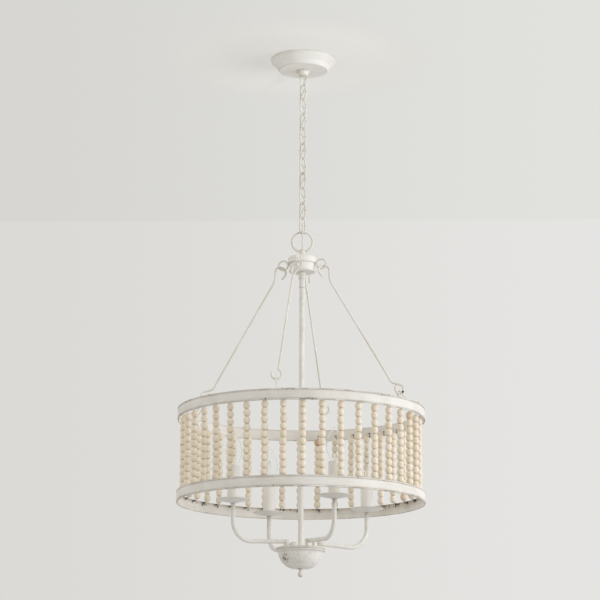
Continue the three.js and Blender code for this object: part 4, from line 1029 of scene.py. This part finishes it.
def make_room():
    """Soft light all round; camera, mirror and glass rays see a pale ceiling above a paler wall."""
    world = bpy.data.worlds.new("room")
    bpy.context.scene.world = world
    world.use_nodes = True
    tree = world.node_tree
    tree.nodes.clear()
    link = tree.links.new

    def math_node(operation, a, b=0.0):
        node = tree.nodes.new("ShaderNodeMath")
        node.operation = operation
        for socket, value in zip(node.inputs, (a, b)):
            if isinstance(value, bpy.types.NodeSocket):
                link(value, socket)
            else:
                socket.default_value = value
        return node.outputs[0]

    def blend_node(value, low, high, first, second):
        ramp = tree.nodes.new("ShaderNodeMapRange")
        ramp.interpolation_type = "SMOOTHSTEP"
        link(value, ramp.inputs["Value"])
        ramp.inputs["From Min"].default_value = low
        ramp.inputs["From Max"].default_value = high
        node = tree.nodes.new("ShaderNodeMix")
        node.data_type = "RGBA"
        link(ramp.outputs[0], node.inputs[0])
        for socket, colour in zip((node.inputs[6], node.inputs[7]), (first, second)):
            if isinstance(colour, bpy.types.NodeSocket):
                link(colour, socket)
            else:
                socket.default_value = linear(colour)
        return node.outputs[2]

    split = tree.nodes.new("ShaderNodeSeparateXYZ")
    link(tree.nodes.new("ShaderNodeTexCoord").outputs["Generated"], split.inputs[0])
    x, y, z = split.outputs
    across = math_node("MAXIMUM", math_node("ABSOLUTE", x), math_node("ABSOLUTE", y))
    slope = math_node("SUBTRACT", math_node("DIVIDE", z, across), math_node("MULTIPLY", x, SEAM_TILT))
    # Painted light: wall and ceiling are lighter towards +X, the side of the window.
    wall = blend_node(x, -0.13, 0.13, (219, 218, 214), (229, 228, 226))
    ceiling = blend_node(x, -0.13, 0.13, (215, 214, 210), (225, 225, 222))
    colour = blend_node(slope, SEAM_SLOPE - 0.0006, SEAM_SLOPE + 0.0006, wall, ceiling)
    soft = tree.nodes.new("ShaderNodeBackground")
    soft.inputs[0].default_value = (1.0, 0.984, 0.94, 1)
    upright = math_node("ADD", math_node("MULTIPLY", z, (ABOVE - BELOW) / 2), (ABOVE + BELOW) / 2)
    link(math_node("SUBTRACT", upright, math_node("MULTIPLY", x, SIDEWAYS)), soft.inputs[1])
    seen = tree.nodes.new("ShaderNodeBackground")
    link(colour, seen.inputs[0])
    rays = tree.nodes.new("ShaderNodeLightPath").outputs
    direct = math_node("MAXIMUM", rays["Is Camera Ray"], rays["Is Glossy Ray"])
    direct = math_node("MAXIMUM", direct, rays["Is Transmission Ray"])
    mix = tree.nodes.new("ShaderNodeMixShader")
    link(direct, mix.inputs[0])
    link(soft.outputs[0], mix.inputs[1])
    link(seen.outputs[0], mix.inputs[2])
    output = tree.nodes.new("ShaderNodeOutputWorld")
    link(mix.outputs[0], output.inputs[0])


def area_light(name, place, target, size, power, colour):
    data = bpy.data.lights.new(name, "AREA")
    data.color = colour
    data.shape = "SQUARE"
    data.size = size
    data.energy = power
    light = bpy.data.objects.new(name, data)
    light.location = place
    light.rotation_euler = (Vector(target) - Vector(place)).to_track_quat("-Z", "Y").to_euler()
    bpy.context.scene.collection.objects.link(light)


def spot_light(name, place, target, cone, power):
    data = bpy.data.lights.new(name, "SPOT")
    data.spot_size = math.radians(cone)
    data.spot_blend = 1.0
    data.shadow_soft_size = 0.12
    data.energy = power
    light = bpy.data.objects.new(name, data)
    light.location = place
    light.rotation_euler = (Vector(target) - Vector(place)).to_track_quat("-Z", "Y").to_euler()
    bpy.context.scene.collection.objects.link(light)


def make_ceiling():
    """The patch of ceiling round the canopy, seen from below only, which takes its soft shadow, with its glow painted
    darker beside the canopy as a painted shadow.
    """
    m = Shader("ceiling_patch", Roughness=1.0, Specular_IOR_Level=0)
    where = m.add("ShaderNodeTexCoord").outputs["Object"]
    length = m.add("ShaderNodeVectorMath", operation="LENGTH")
    m.feed(length.inputs[0], where)
    grain = m.noise(where, 60, 2)
    m.feed(m.bsdf.inputs["Base Color"], m.mix(grain, CEILING_ALBEDO, [c * 0.99 for c in CEILING_ALBEDO[:3]] + [1]))
    m.feed(m.bsdf.inputs["Emission Color"], CEILING_GLOW)
    rays = m.add("ShaderNodeLightPath").outputs
    # Painted shadow: the glow is weaker close to the canopy, weakest a little to its left.
    beside = m.add("ShaderNodeVectorMath", operation="DISTANCE")
    m.feed(beside.inputs[0], where)
    beside.inputs[1].default_value = CEILING_SHADOW_CENTRE
    painted_shadow = m.remap(beside.outputs["Value"], 0.05, 0.2, CEILING_SHADOW_GLOW, 1)
    m.feed(m.bsdf.inputs["Emission Strength"], m.math("MULTIPLY", rays["Is Camera Ray"], painted_shadow))
    front = m.math("SUBTRACT", 1.0, m.add("ShaderNodeNewGeometry").outputs["Backfacing"])
    front = m.math("MULTIPLY", front, m.math("GREATER_THAN", length.outputs["Value"], (CANOPY_R - 2) * MM))
    m.feed(m.bsdf.inputs["Alpha"], m.math("MULTIPLY", m.remap(length.outputs["Value"], 0.3, 0.12), front))
    side = 320
    corners = [(-side, -side, 0.8), (-side, side, 0.8), (side, side, 0.8), (side, -side, 0.8)]
    patch = build("ceiling_patch", corners, [(0, 1, 2, 3)], m.material)


def make_camera():
    data = bpy.data.cameras.new("camera")
    data.sensor_width = 36
    data.lens = 2297.2 / 600 * 36
    data.clip_end = 100
    camera = bpy.data.objects.new("camera", data)
    camera.location = (-0.0036, -4.125, -1.3989)
    camera.rotation_euler = (math.radians(90 + 12.762), 0, 0)
    camera.rotation_euler.y = math.radians(-0.33)
    camera.rotation_euler.z = math.radians(-0.073)
    bpy.context.scene.collection.objects.link(camera)
    bpy.context.scene.camera = camera


make_room()
area_light("window", (3.2, -1.1, -0.6), (0, 0, -0.65), 2.2, 61, (0.965, 0.985, 1.02))
spot_light("bounce", (0.5, -1.3, -1.1), (0, 0, -0.012), 6.5, 52)
make_ceiling()
make_camera()
bpy.context.scene.view_settings.view_transform = "Standard"
